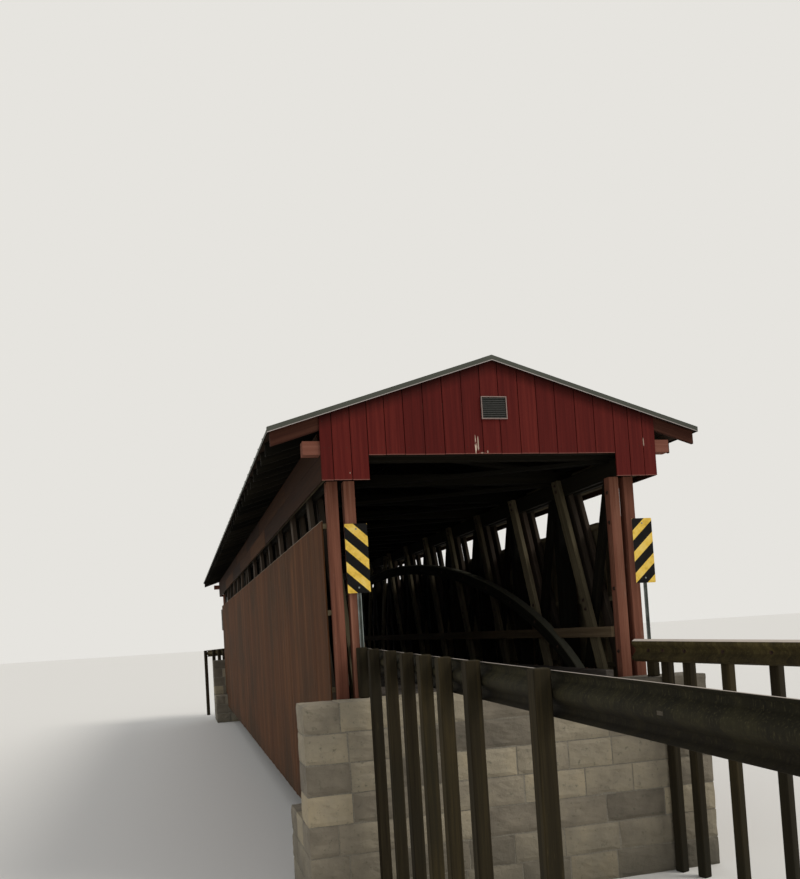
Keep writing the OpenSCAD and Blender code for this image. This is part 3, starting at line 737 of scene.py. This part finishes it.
COURSES = 7
STONE_JOINT = 7 * MM
STONE_CUTS = 6
BATTER = 0.08
BACK_Y = -600 * MM
WALL_FRONT_Y = -20 * MM
MIDDLE_ROW_Y = 550 * MM
CORE_INSET = 14 * MM


def stone_block(bm, low, high, pitched, rng):
    """One block, dressed in its joints and left rough and full on the faces that pitched picks out."""
    one = bmesh.new()
    block(one, low, high)
    bmesh.ops.subdivide_edges(one, edges=one.edges[:], cuts=STONE_CUTS, use_grid_fill=True)
    seed = Vector([rng.uniform(0, 90) for _ in range(3)])
    middle = (Vector(low) + Vector(high)) / 2
    half = (Vector(high) - Vector(low)) / 2
    for v in one.verts:
        off = Vector([(v.co[i] - middle[i]) / half[i] for i in range(3)])
        if sum(abs(o) > 0.99 for o in off) == 1:
            # Inside a face: swollen towards its middle, in millimetres
            middle_ness = 1 - max(abs(o) for o in off if abs(o) < 0.99) ** 3
            hollows = noise.noise(v.co * 3.1 + seed) + noise.noise(v.co * 11 + seed)
            swell = (12 + 16 * hollows if pitched(v.co) else 3 * hollows) * middle_ness * MM
        else:
            # On an edge: chipped back
            swell = -(3 + 12 * abs(noise.noise(v.co * 4.3 + seed))) * MM
        v.co += Vector([o * swell if abs(o) > 0.99 else 0 for o in off])
        v.co.z = max(v.co.z, 0)
        if v.co.y > SEAT_Y - 40 * MM:
            v.co.y += BATTER * (SEAT_Z - v.co.z)
    mesh = finished(one, "stone")
    bm.from_mesh(mesh)
    bpy.data.meshes.remove(mesh)


def abutment_stones(end, stone, mortar):
    """Coursed blocks around a mortar core, with a seat for the trusses and a back wall."""
    rng = random.Random(71 if end == "near" else 72)
    half_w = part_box(end + "_abutment")[1].x
    course = DECK_Z / COURSES
    gap = STONE_JOINT / 2
    bm = bmesh.new()

    def pitched(point):
        return (abs(point.x) > half_w - STONE_JOINT
                or not BACK_Y + STONE_JOINT <= point.y <= SEAT_Y - STONE_JOINT)

    def stone_length(x):
        return rng.uniform(0.35, 0.6) if x == -half_w else rng.uniform(0.6, 1.0)

    for level in range(COURSES):
        z0 = level * course
        below_seat = z0 + course / 2 < SEAT_Z
        top = SEAT_Z if below_seat and z0 + 1.5 * course > SEAT_Z else z0 + course
        rows = [BACK_Y, WALL_FRONT_Y] + [MIDDLE_ROW_Y, SEAT_Y] * below_seat
        for y0, y1 in zip(rows, rows[1:]):
            for x, stop in lengths(-half_w, half_w, 0.4, stone_length):
                high = (stop - gap, y1 - gap, top - gap)
                stone_block(bm, (x + gap, y0 + gap, z0 + gap), high, pitched, rng)
    end_piece(bm, end, "abutment_stones", "stone", [stone], [end + "_abutment"], 73)

    core = bmesh.new()
    back, wall_front = BACK_Y + CORE_INSET, WALL_FRONT_Y - CORE_INSET
    seat, top = SEAT_Z - CORE_INSET, DECK_Z - CORE_INSET
    outline = [(back, 0), (SEAT_Y + BATTER * SEAT_Z - CORE_INSET, 0), (SEAT_Y - CORE_INSET, seat),
               (wall_front, seat), (wall_front, top), (back, top)]
    prism(core, [(CORE_INSET - half_w, y, z) for y, z in outline], (2 * (half_w - CORE_INSET), 0, 0))
    end_piece(core, end, "abutment_mortar", "stone", [mortar], (), 74)


# Roof trim

SHEET_T = 6 * MM
SEAM_H = 22 * MM
FLASH_T = 1.5 * MM
FLASH_H = 70 * MM
HEM_H = 10 * MM
HEM_T = 6 * MM
FLANGE = 90 * MM
DRIP_OUT = 18 * MM
DRIP_DOWN = 12 * MM


def roof_trim(face_metal, hem_metal):
    """Folded flashing along both verges, with a pale hem that stands out below, and eave drips."""
    bm = bmesh.new()
    top = ROOF_BOARD_V + (SHEET_T + SEAM_H) * ROOF_STRETCH
    low = top - FLASH_H
    eave = ROOF_HIGH.x + DRIP_OUT
    for sign in (-1, 1):
        for y, out in ((ROOF_LOW.y, -1), (ROOF_HIGH.y, 1)):
            face_y = y + out * 2 * MM
            leg_y = face_y + out * FLASH_T
            # The upright leg, the hem below it and the flange on the sheet
            slope_board(bm, sign, (0, eave), (face_y, leg_y), (low + HEM_H, top))
            slope_board(bm, sign, (0, eave), (face_y, face_y + out * HEM_T), (low, low + HEM_H), 1)
            slope_board(bm, sign, (0, eave), (leg_y, y - out * FLANGE), (top, top + FLASH_T))
        drip = [(sign * (eave + a), ROOF_LOW.y, roof_z(eave) + b) for a, b in (
            (0, top - SEAM_H), (FLASH_T, top - SEAM_H), (FLASH_T, -DRIP_DOWN), (0, -DRIP_DOWN))]
        prism(bm, drip, (0, ROOF_HIGH.y - ROOF_LOW.y, 0))
    piece(bm, "roof_flashing", "roof_metal", [face_metal, hem_metal], (), 81)


# Guard rails

RAIL_H = 312 * MM
RAIL_HALF = RAIL_H / 2
RAIL_SHEET = 3 * MM
RAIL_SECTION = 3810 * MM
RAIL_LAP = 320 * MM
# Bends of the upper wave, as millimetres out from the posts and shares of the half height
RAIL_BENDS = [(16, 1.0), (25, 0.97), (79, 0.80), (79, 0.53), (7, 0.15)]
RAIL_BACK = 7 * MM
RAIL_BEND_R = 17 * MM
SLOT_LONG = 64 * MM
SLOT_HALF_H = 11 * MM
SLOTS = [7.1]
LAP_BOLTS = 110 * MM
LONG_POSTS = [90, 780, 1620, 2350, 3010, 3630, 4390, 5755, 8500]
FLARE_POSTS = [230, 475, 830, 1420, 2095, 3150]
LONG_RAIL_LENGTH = 8600 * MM
FLARE_LENGTH = 3250 * MM
ACROSS = Matrix.Diagonal((-1, 1, 1, 1))


def rail_line(x, y, turn, top, fall, mirrored):
    """The matrix from a rail's own frame, which runs along minus Y from its top edge."""
    stand = Matrix.Translation((x, y, 0)) @ Matrix.Rotation(turn, 4, "Z")
    if mirrored:
        stand = stand @ ACROSS
    return stand @ Matrix.Translation((0, 0, DECK_Z + top)) @ Matrix.Rotation(fall, 4, "X")


LONG_LINE = rail_line(-TRUSS_X, -50 * MM, 0, 635 * MM, math.radians(1.1), False)
FLARE_LINE = rail_line(1950 * MM, -250 * MM, math.radians(18.6), 520 * MM, math.radians(1.6), True)
# The same rail after half a turn about the middle of the bridge, and its mirror image
FAR_LINE = Matrix.Translation((0, SPAN, 0)) @ Matrix.Rotation(math.pi, 4, "Z") @ FLARE_LINE
FLARE_LINES = [FLARE_LINE, FAR_LINE, ACROSS @ FAR_LINE]


def rail_sheet(bm, start, stop, layer):
    """One length of two-wave rail, open at the bolt slots."""
    back = RAIL_BACK + layer * RAIL_SHEET
    upper = [(a * MM + layer * RAIL_SHEET, share * RAIL_HALF) for a, share in RAIL_BENDS]
    upper.append((back, SLOT_HALF_H))
    chain = upper + [(a, -z) for a, z in reversed(upper)]
    verts = [bm.verts.new((a, -start, z - RAIL_HALF)) for a, z in chain]
    for pair in zip(verts, verts[1:]):
        bm.edges.new(pair)
    round_corners(bm, [verts[i] for i in (2, 3, 4, 7, 8, 9)], RAIL_BEND_R, 3)
    edges = [e for e in bm.edges
             if not e.link_faces and all(abs(v.co.y + start) < 0.01 * MM for v in e.verts)]
    slots = [s for s in SLOTS if start < s - SLOT_LONG and s + SLOT_LONG < stop]
    stops = sorted([start, stop] + [s + half * SLOT_LONG for s in slots for half in (-0.5, 0.5)])
    for here, there in zip(stops, stops[1:]):
        made = bmesh.ops.extrude_edge_only(bm, edges=edges)["geom"]
        push(bm, made, (0, here - there, 0))
        edges = only(bmesh.types.BMEdge, made)
        middle = (here + there) / 2
        if any(abs(middle - s) < 1 * MM for s in slots):
            spot = Vector((back, -middle, -RAIL_HALF))
            cut = [f for f in bm.faces if (f.calc_center_median() - spot).length < 1 * MM]
            bmesh.ops.delete(bm, geom=cut, context="FACES_ONLY")


def rail_bolts(length, posts):
    """Places of the post bolts and of the six bolts at each lap, in the rail's own frame."""
    found = [Vector((RAIL_BACK + 2 * MM, -p * MM, -RAIL_HALF)) for p in posts]
    lap = RAIL_SECTION
    while lap < length:
        for along in (-LAP_BOLTS, 0.0, LAP_BOLTS):
            for share in (-0.66, 0.66):
                found.append(Vector((81 * MM, along - lap, (share - 1) * RAIL_HALF)))
        lap += RAIL_SECTION
    return found


def steel_rail(name, length, lines, node, material, highlight_depth):
    """A guard rail in lapped lengths, with a painted highlight down to a depth from its top edge."""
    bm = bmesh.new()
    start = stop = layer = 0
    while stop < length:
        stop = min(start + RAIL_SECTION + RAIL_LAP / 2, length)
        rail_sheet(bm, start, stop, layer % 2)
        start = stop - RAIL_LAP
        layer += 1
    bmesh.ops.recalc_face_normals(bm, faces=bm.faces[:])
    bmesh.ops.solidify(bm, geom=bm.faces[:], thickness=RAIL_SHEET)
    # The lip attribute marks the painted highlight, the depth attribute the painted shade of the lower
    # wave
    lip, depth = [bm.verts.layers.float.new(key) for key in ("lip", "depth")]
    for v in bm.verts:
        v[lip] = 1.0 if v.co.z > -highlight_depth else 0.0
        v[depth] = -v.co.z
    one = finished(bm, "rail")
    joined = bmesh.new()
    for line in lines:
        copy = one.copy()
        copy.transform(line)
        joined.from_mesh(copy)
    link_piece(finished(joined, name), "rail_steel", [material], [node])


# Bolts and nails

def stud(bm, segments, wide, narrow, low, high):
    """A short round or many-sided head between two heights on Z."""
    bmesh.ops.create_cone(bm, cap_ends=True, segments=segments, radius1=wide, radius2=narrow,
                          depth=high - low, matrix=Matrix.Translation((0, 0, (low + high) / 2)))


def bolt_template(across, high):
    """A hexagon head on a round washer, standing on Z."""
    bm = bmesh.new()
    washer_h = high * 0.2
    stud(bm, 14, across * 0.95, across * 0.95 * 0.94, -1 * MM, washer_h)
    stud(bm, 6, across * 0.5, across * 0.5 * 0.94, washer_h, high)
    return bm


def truss_bolts(material):
    """Bolts through the brace heads, the crossings, the arches, the posts and the curbs."""
    low_z = (CHORD_LOW.z + CHORD_HIGH.z) / 2
    top_z = (HEAD_LOW.z + HEAD_HIGH.z) / 2
    # How far the ends of the braces lie in from the panel points, and the bolts of a pair apart
    foot_in, head_in, counter_in = 140 * MM, 240 * MM, 190 * MM
    at_head, at_crossing = 50 * MM, 70 * MM
    post_bolts = (DECK_Z + 350 * MM, DECK_Z + 1250 * MM, DECK_Z + 2200 * MM, top_z - 350 * MM)
    arch_turns = [math.pi * step / 48 for step in range(3, 46, 2)]
    places = []
    for side in (-1, 1):
        spots = []
        for i in range(PANEL_COUNT):
            near, far, way = node_y(i), node_y(i + 1), 1
            if i >= PANEL_COUNT // 2:
                near, far, way = far, near, -1
            foot, head = near + way * foot_in, far - way * head_in
            back = far - way * counter_in
            # The brace and the counter brace cross this far up
            lean = (head - foot) / (top_z - low_z)
            counter_lean = (near + way * head_in - back) / (top_z - low_z)
            up = (back - foot) / (lean - counter_lean)
            spots += [(head + lean * d, top_z + d) for d in (-at_head, at_head)]
            spots += [(foot + lean * (up + d), low_z + up + d) for d in (-at_crossing, at_crossing)]
        for y in (POST_DEPTH / 2, SPAN - POST_DEPTH / 2):
            spots += [(y, z) for z in post_bolts]
        spots = [(side * TRUSS_X, y, z) for y, z in spots]
        spots += [arch_point(side * ARCH_X, ARCH_DEPTH / 2, turn) for turn in arch_turns]
        places += [facing(spot, (-side, 0, 0)) for spot in spots]
        curb_x = side * (DECK_HIGH.x - 60 * MM)
        places += [facing((curb_x, 0.7 + i * 1.857, DECK_Z + 100 * MM), (0, 0, 1)) for i in range(15)]
    scatter("truss_bolts", "rail_steel", material, bolt_template(32 * MM, 20 * MM), places)


def guard_bolts(material):
    """Bolts on all guard rails."""
    places = []
    for length, posts, lines in ((LONG_RAIL_LENGTH, LONG_POSTS, [LONG_LINE]),
                                 (FLARE_LENGTH, FLARE_POSTS, FLARE_LINES)):
        for line in lines:
            outward = line.to_3x3() @ Vector((1, 0, 0))
            places += [facing(line @ spot, outward) for spot in rail_bolts(length, posts)]
    scatter("guard_rail_bolts", "rail_steel", material, bolt_template(28 * MM, 16 * MM), places)


def board_nails(material):
    """Nail heads in pairs where the boards cross the girts, tie beams and battens."""
    rng = random.Random(91)
    places = []
    for side in (-1, 1):
        for z in (DECK_Z + 2275 * MM, DECK_Z + 1125 * MM, DECK_Z + 110 * MM):
            y = WALL_LOW.y + 50 * MM
            while y < WALL_HIGH.y:
                spot = (side * (WALL_HIGH.x - 2 * MM), y, z + rng.uniform(-15, 15) * MM)
                places.append(facing(spot, (side, 0, 0)))
                y += rng.choice((0.085, 0.1, 0.11))
    for left, right in GABLE_BOARDS:
        for x in (left + 50 * MM, right - 50 * MM):
            for z in (GABLE_CLEAR_Z + 95 * MM, roof_z(x) - 90 * MM):
                for y, out in ((GABLE_LOW.y + 1 * MM, -1), (SPAN - GABLE_LOW.y - 1 * MM, 1)):
                    places.append(facing((x + rng.uniform(-8, 8) * MM, y, z), (0, out, 0)))
    nail = bmesh.new()
    stud(nail, 7, 5 * MM, 3.5 * MM, -0.5 * MM, 1.5 * MM)
    scatter("board_nails", "rail_steel", material, nail, places)


# Gable vents

VENT_RIM = 12 * MM
VENT_SLATS = 11


def gable_vent(end, frame_finish, slat_finish):
    """A pressed louvre: thin pale frame, back sheet and a stack of slanted slats."""
    low, high = min(solids_of("gable_vents"), key=lambda s: s[0].y)
    face, back = low.y, high.y
    # The opening inside the frame
    left, right = low.x + VENT_RIM, high.x - VENT_RIM
    sill, head = low.z + VENT_RIM, high.z - VENT_RIM
    bm = bmesh.new()
    for x0, z0, x1, z1 in ((low.x, low.z, high.x, sill), (low.x, head, high.x, high.z),
                           (low.x, sill, left, head), (right, sill, high.x, head)):
        block(bm, (x0, face, z0), (x1, back, z1))
    frame_faces = len(bm.faces)
    block(bm, (left, back - 2 * MM, sill), (right, back, head))
    step = (head - sill) / VENT_SLATS
    for i in range(VENT_SLATS):
        z = sill + i * step
        outline = [(left, y, z + share * step) for y, share in (
            (face + 3 * MM, 0.1), (face + 5 * MM, 0.1), (back - 2 * MM, 0.95), (back - 4 * MM, 0.95))]
        prism(bm, outline, (right - left, 0, 0))
    bm.faces.ensure_lookup_table()
    for made in bm.faces[frame_faces:]:
        made.material_index = 1
    end_piece(bm, end, "gable_louvre", "vent_slat", [frame_finish, slat_finish],
              ["gable_vents"], 95, 0.8 * MM)


# Hazard markers

STRIPE_PERIOD = 300 * MM
STRIPE_YELLOW = 140 * MM
STRIPE_START = 35 * MM
STRIPE_SLANT = 0.91
CHANNEL_T = 3 * MM
HOLE_PITCH = 50 * MM


def front_of(low, high):
    """The front and back of a marker or its post, and the way that its front faces."""
    if low.y < SPAN / 2:
        return low.y, high.y, (0, -1, 0)
    return high.y, low.y, (0, 1, 0)


def marker_plates(material, metal):
    """Plates with round corners, whose stripes fall towards the road."""
    bm = bmesh.new()
    uv = bm.loops.layers.uv.new("plate")
    for low, high in solids_of("markers"):
        front, back, _ = front_of(low, high)
        before = set(bm.faces)
        outline = [(low.x, low.z), (high.x, low.z), (high.x, high.z), (low.x, high.z)]
        face = bm.faces.new([bm.verts.new((x, back, z)) for x, z in outline])
        round_corners(bm, face.verts[:], 12 * MM, 4)
        flat = [f for f in bm.faces if f not in before]
        push(bm, bmesh.ops.extrude_face_region(bm, geom=flat)["geom"], (0, front - back, 0))
        for f in set(bm.faces) - before:
            f.material_index = 0 if all(abs(v.co.y - front) < 0.1 * MM for v in f.verts) else 1
            for loop in f.loops:
                across = loop.vert.co.x - low.x if low.x < 0 else high.x - loop.vert.co.x
                loop[uv].uv = (across * STRIPE_SLANT, loop.vert.co.z - high.z + STRIPE_START)
    link_piece(finished(bm, "marker_plates"), "marker_plate", [material, metal], ["markers"])


def marker_bolts(material):
    """Two bolts through each plate."""
    places = []
    for low, high in solids_of("markers"):
        front, _, outward = front_of(low, high)
        for z in (low.z + 70 * MM, high.z - 70 * MM):
            places.append(facing(((low.x + high.x) / 2, front, z), outward))
    scatter("marker_bolts", "marker_post", material, bolt_template(13 * MM, 7 * MM), places)


def channel_posts(material, web, dark):
    """U-channel posts of thin steel with a row of punched holes down the web."""
    bm = bmesh.new()
    holes = []
    for low, high in solids_of("marker_posts"):
        web_y, back, outward = front_of(low, high)
        middle = (low.x + high.x) / 2
        half = (high.x - low.x) / 2
        # One half of the section, as a place aside and a share of the depth
        outer = [(half, 1), (half, 0.88), (half * 0.6, 0.88), (half * 0.5, 0)]
        inner = [(half * 0.6 - CHANNEL_T, 1), (half * 0.5 - CHANNEL_T, 0.1)]
        section = [(-a, f) for a, f in outer] + outer[::-1] + inner + [(-a, f) for a, f in inner[::-1]]
        outline = [(middle + a, web_y + f * (back - web_y), low.z) for a, f in section]
        prism(bm, outline, (0, 0, high.z - low.z))
        # The web between the flanges takes the darker finish: painted shade of the channel's recess
        for f in bm.faces:
            if all(abs(v.co.y - web_y) < 0.1 * MM for v in f.verts):
                f.material_index = 1
        z = low.z + 50 * MM
        while z < high.z - 30 * MM:
            holes.append(facing((middle, web_y, z), outward))
            z += HOLE_PITCH
    piece(bm, "channel_posts", "marker_post", [material, web], ["marker_posts"], 96)
    # The punched holes are thin dark discs on the web, not cut through: painted shade
    hole = bmesh.new()
    stud(hole, 10, 5 * MM, 5 * MM, -0.3 * MM, 0.3 * MM)
    scatter("channel_post_holes", "marker_post", dark, hole, holes)


# Camera, floor and light

# The camera as it was fitted to the photograph, 0.8485 m above the deck
CAMERA_PLACE = (-4.2047, -11.1056, 3.4485)
CAMERA_YAW = math.radians(14.544)
CAMERA_PITCH = math.radians(2.671)
CAMERA_ROLL = math.radians(3.502)
FOCAL_PX = 862
IMAGE_H = 879
MIDDLE_ROW = 589.3


def camera():
    """The camera at the photograph's viewing angle."""
    data = bpy.data.cameras.new("view_camera")
    data.lens = data.sensor_width * FOCAL_PX / IMAGE_H
    data.shift_y = (MIDDLE_ROW - IMAGE_H / 2) / IMAGE_H
    data.clip_end = 500
    made = linked(data)
    made.matrix_world = (Matrix.Translation(CAMERA_PLACE) @ Matrix.Rotation(-CAMERA_YAW, 4, "Z")
                         @ Matrix.Rotation(math.pi / 2 + CAMERA_PITCH, 4, "X")
                         @ Matrix.Rotation(-CAMERA_ROLL, 4, "Z"))
    bpy.context.scene.camera = made


def studio():
    """A pale floor, an even pale surround and one broad soft lamp."""
    scene = bpy.context.scene
    scene.view_settings.view_transform = "Standard"
    bm = bmesh.new()
    bmesh.ops.create_grid(bm, x_segments=1, y_segments=1, size=300,
                          matrix=Matrix.Translation((0, 14, -1 * MM)))
    mesh = finished(bm, "floor")
    mesh.materials.append(surfaced(new_material("pale_floor")[0], srgb("dedbd4"), 0.95))
    floor = linked(mesh)

    world = bpy.data.worlds.new("surround")
    scene.world = world
    world.use_nodes = True
    tree = world.node_tree
    tree.nodes.clear()
    path = add(tree, "LightPath").outputs
    seen = add(tree, "Math", {0: path["Is Camera Ray"], 1: path["Is Glossy Ray"]}, operation="MAXIMUM")
    light = add(tree, "Background", {"Color": srgb("f4f6fa"), "Strength": 0.68})
    shown = add(tree, "Background", {"Color": srgb("e6e4df"), "Strength": 1.0})
    add(tree, "OutputWorld", {"Surface": add(tree, "MixShader", {0: seen, 1: light, 2: shown})})

    lamp = bpy.data.lights.new("soft_key", "SUN")
    lamp.energy = 1.5
    lamp.angle = math.radians(25)
    lamp.color = (1.0, 0.97, 0.92)
    linked(lamp).rotation_euler = (math.radians(45), 0, math.radians(60))


def build():
    """Makes every finish and every piece."""
    weathered = wood("weathered_truss_timber", ("484031", "69604a", "897d63"), grime=(0.9, "332e25"))
    # Near black timber for members deep inside the bridge: painted shade
    shaded = wood("dark_inner_timber", ("0f0e0a", "191711", "26221a"))
    # Dark arch timber whose lightest tone, on the outer lamination, is a painted highlight
    arch_wood = wood("dark_arch_timber", ("201f18", "2f2e24", "605e50"), spread=0.6)
    # A darker copy of the brace timber for planks behind the inner ones: painted shade
    shaded_brace = wood("shaded_brace_timber", ("2c261f", "40382f", "584b40"))
    sawn = wood("dry_sawn_timber", ("42382a", "60513d", "7f6d55"))
    traffic = wood("traffic_worn_plank", ("35302b", "4f4943", "6a6259"), roughness=0.8)
    post_paint = wood("faded_post_paint", ("583529", "7e5140", "9b6f5a"), worn="937d6b", wear=0.53,
                      spread=0.2)
    beam_paint = wood("faded_beam_paint", ("5a3429", "704537", "86594a"), worn="8e735f", wear=0.54,
                      spread=0.2)
    rafter_paint = wood("faded_rafter_paint", ("2a1610", "3f241b", "553629"), worn="594435", wear=0.56)
    wall_stain = wood("stained_wall_board", ("412919", "573822", "704d31"), worn="5e4a35", wear=0.6,
                      grime=(0.55, "352d21"), ends=("crown", "8f8272", 9 * MM), spread=0.15)
    eave_stain = wood("stained_eave_board", ("1f1209", "331e0f", "4b2f18"), worn="513620", wear=0.6)
    gable_paint = wood("dark_red_gable_paint", ("451411", "561b17", "68261f"), worn="6b332b", wear=0.62,
                       roughness=0.75, chips=gable_chips, ends=("foot", "8a5a50", 7 * MM), spread=0.14)
    roof_wood = wood("rough_roof_board", ("19120d", "281e16", "3a2d23"))
    rail_wood = wood("dark_rail_post_timber", ("1a140c", "2d271a", "433924"), worn="50462f", wear=0.56,
                     grime=(0.2, "24221a"), spread=0.18)
    sandstone = cut_stone()
    mortar = lime_mortar()
    sheet = roof_metal("dull_galvanised_roof", ("757574", "8d8d8b", "a0a09d"), 0.5)
    flashing = roof_metal("grey_verge_flashing", ("41433c", "4e5048", "5d5f57"), 0.65)
    hem = roof_metal("pale_verge_hem", ("8f8885", "a49c98", "b8b0ab"), 0.6)
    rust_steel = weathering_steel("weathering_steel", ("0f0e07", "1f1c0e", "332f1a", "5c5539"))
    # A lighter copy of the rail steel for the flared rails: painted sunlight
    lit_steel = weathering_steel("sunlit_weathering_steel", ("241f11", "41381f", "5c512f", "81764f"))
    bolts = bolt_steel()
    zinc = galvanised("hot_dip_galvanised_steel", "737b78", "a9b0ac")
    # A darker copy of the galvanised steel for the post webs: painted shade
    shaded_zinc = galvanised("shaded_galvanised_steel", "2b302d", "474d49")
    stripes = striped_sheeting()
    vent_frame = enamel("pale_vent_frame", "7c6963", "978378")
    vent_slat = enamel("chalked_green_slat", "14150f", "1f2018")

    # Planks of the outer face, darker between the inner ones: painted shade
    def behind_face(low, high):
        return min(abs(low.x), abs(high.x)) > TRUSS_X + BRACE_T - 10 * MM

    # Rafters under the roof, without the first and last pair, which take the painted shade
    def between_verges(low, high):
        return low.y > ROOF_LOW.y + 300 * MM and high.y < ROOF_HIGH.y - 300 * MM

    worn_timber("bed_timbers", "timber", [weathered], 101, 8 * MM)
    for side, seed in (("left", 110), ("right", 120)):
        worn_timber(side + "_bottom_chord", "timber", [weathered], seed + 1, 6 * MM)
        worn_timber(side + "_top_chord", "timber", [shaded], seed + 2, 6 * MM)
        worn_timber(side + "_braces", "timber", [weathered, shaded_brace], seed + 3, second=behind_face)
        worn_timber(side + "_counter_braces", "timber", [shaded], seed + 4)
        worn_timber(side + "_girts", "timber", [weathered], seed + 5)
        arch_ribs(side, arch_wood)
        wall_boards(side, wall_stain, weathered)
        eave_planks(side, eave_stain)
        roof_planks(side, roof_wood)
    for node, slot, material, seed, bevel in (
            ("near_portal_posts", "post_paint", post_paint, 131, 5),
            ("far_portal_posts", "post_paint", post_paint, 132, 5),
            ("floor_beams", "timber", weathered, 133, 6),
            ("stringers", "timber", weathered, 134, 5),
            ("curbs", "deck_plank", traffic, 135, 9),
            ("rub_rails", "new_timber", sawn, 136, 5),
            ("upper_laterals", "timber", shaded, 138, 3),
            ("wall_plates", "timber", shaded, 139, 4),
            ("ridge_board", "timber", shaded, 141, 3),
            ("near_rail_posts", "rail_post", rail_wood, 142, 9),
            ("far_rail_posts", "rail_post", rail_wood, 143, 9)):
        worn_timber(node, slot, [material], seed, bevel * MM)
    tie_timbers([beam_paint, shaded])
    worn_timber("rafters", "post_paint", [rafter_paint, shaded], 140, 3 * MM, second=between_verges)
    deck_planks(traffic)
    for end in ("near", "far"):
        gable_boards(end, gable_paint)
        gable_batten(end, weathered)
        gable_vent(end, vent_frame, vent_slat)
        abutment_stones(end, sandstone, mortar)
    for node in ("left_roof_sheets", "right_roof_sheets", "ridge_cap"):
        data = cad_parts[node].data
        data.materials.clear()
        data.materials.append(sheet)
    roof_trim(flashing, hem)
    steel_rail("long_guard_rail", LONG_RAIL_LENGTH, [LONG_LINE], "long_rail", rust_steel, 5 * MM)
    steel_rail("flared_guard_rails", FLARE_LENGTH, FLARE_LINES, "flared_rails", lit_steel, 30 * MM)
    truss_bolts(bolts)
    guard_bolts(bolts)
    board_nails(bolts)
    marker_plates(stripes, zinc)
    marker_bolts(zinc)
    channel_posts(zinc, shaded_zinc, bolts)


build()
camera()
studio()
